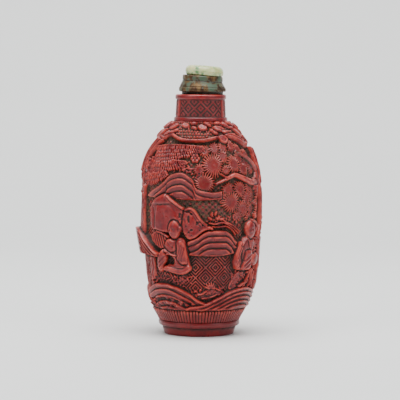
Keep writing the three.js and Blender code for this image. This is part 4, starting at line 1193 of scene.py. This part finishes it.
def floor_material():
    s = Shader("paper_grey")
    color = s.mix(s.noise(60, 2), (0.70, 0.71, 0.70, 1), (0.73, 0.74, 0.73, 1))
    return s.finish(color, s.span(s.noise(20, 2), 0.3, 0.7, 0.75, 0.85))


bottle.data.materials.append(lacquer_material())
collar.data.materials.append(collar_material())
jade.data.materials.append(jade_material())


# ---------------------------------------------------------------- floor, light and camera


def make_floor():
    """A sheet of paper that curves up behind the bottle."""
    half_width = 0.9
    path = [(-0.9, 0.0), (0.28, 0.0)]
    bend = 0.22
    for step in range(1, 13):
        a = math.radians(90 * step / 12)
        path.append((0.28 + bend * math.sin(a), bend * (1 - math.cos(a))))
    path.append((0.5, 1.2))
    points = [(x, y, z) for y, z in path for x in (-half_width, half_width)]
    faces = [(2 * i, 2 * i + 1, 2 * i + 3, 2 * i + 2) for i in range(len(path) - 1)]
    mesh = bpy.data.meshes.new("floor_paper")
    mesh.from_pydata(points, [], faces)
    mesh.shade_smooth()
    floor = bpy.data.objects.new("floor_paper", mesh)
    bpy.context.scene.collection.objects.link(floor)
    mesh.materials.append(floor_material())
    return floor


def aim(thing, place, target, roll=0.0):
    direction = Vector(target) - Vector(place)
    thing.location = place
    thing.rotation_euler = (direction.to_track_quat("-Z", "Y") @ Quaternion((0, 0, 1),
                                                                            math.radians(roll))).to_euler()


def add_light(name, place, target, size, power, color=(1, 1, 1)):
    light = bpy.data.lights.new(name, "AREA")
    light.shape = "RECTANGLE"
    light.size, light.size_y = size
    light.energy = power
    light.color = color
    thing = bpy.data.objects.new(name, light)
    bpy.context.scene.collection.objects.link(thing)
    aim(thing, place, target)


make_floor()
CENTRE = (0, 0, 0.04)
add_light("light_left", (-0.42, -0.34, 0.36), CENTRE, (0.35, 0.35), 1.2)
add_light("light_right", (0.45, -0.3, 0.36), CENTRE, (0.35, 0.35), 1.2)
add_light("light_top", (-0.03, -0.12, 0.6), CENTRE, (0.5, 0.4), 5.6)
add_light("light_wall", (0.0, 0.1, 0.75), (0, 0.5, 0.2), (0.8, 0.3), 5.0)

world = bpy.data.worlds.new("studio")
world.use_nodes = True
world.node_tree.nodes["Background"].inputs["Color"].default_value = (0.95, 0.97, 1.0, 1)
world.node_tree.nodes["Background"].inputs["Strength"].default_value = 0.3
bpy.context.scene.world = world

camera_data = bpy.data.cameras.new("camera")
camera_data.lens = 185.6
camera_data.sensor_width = 36
camera = bpy.data.objects.new("camera", camera_data)
bpy.context.scene.collection.objects.link(camera)
aim(camera, (0, -0.6, 0.08), (0, 0, 0.0389), roll=0.45)
bpy.context.scene.camera = camera
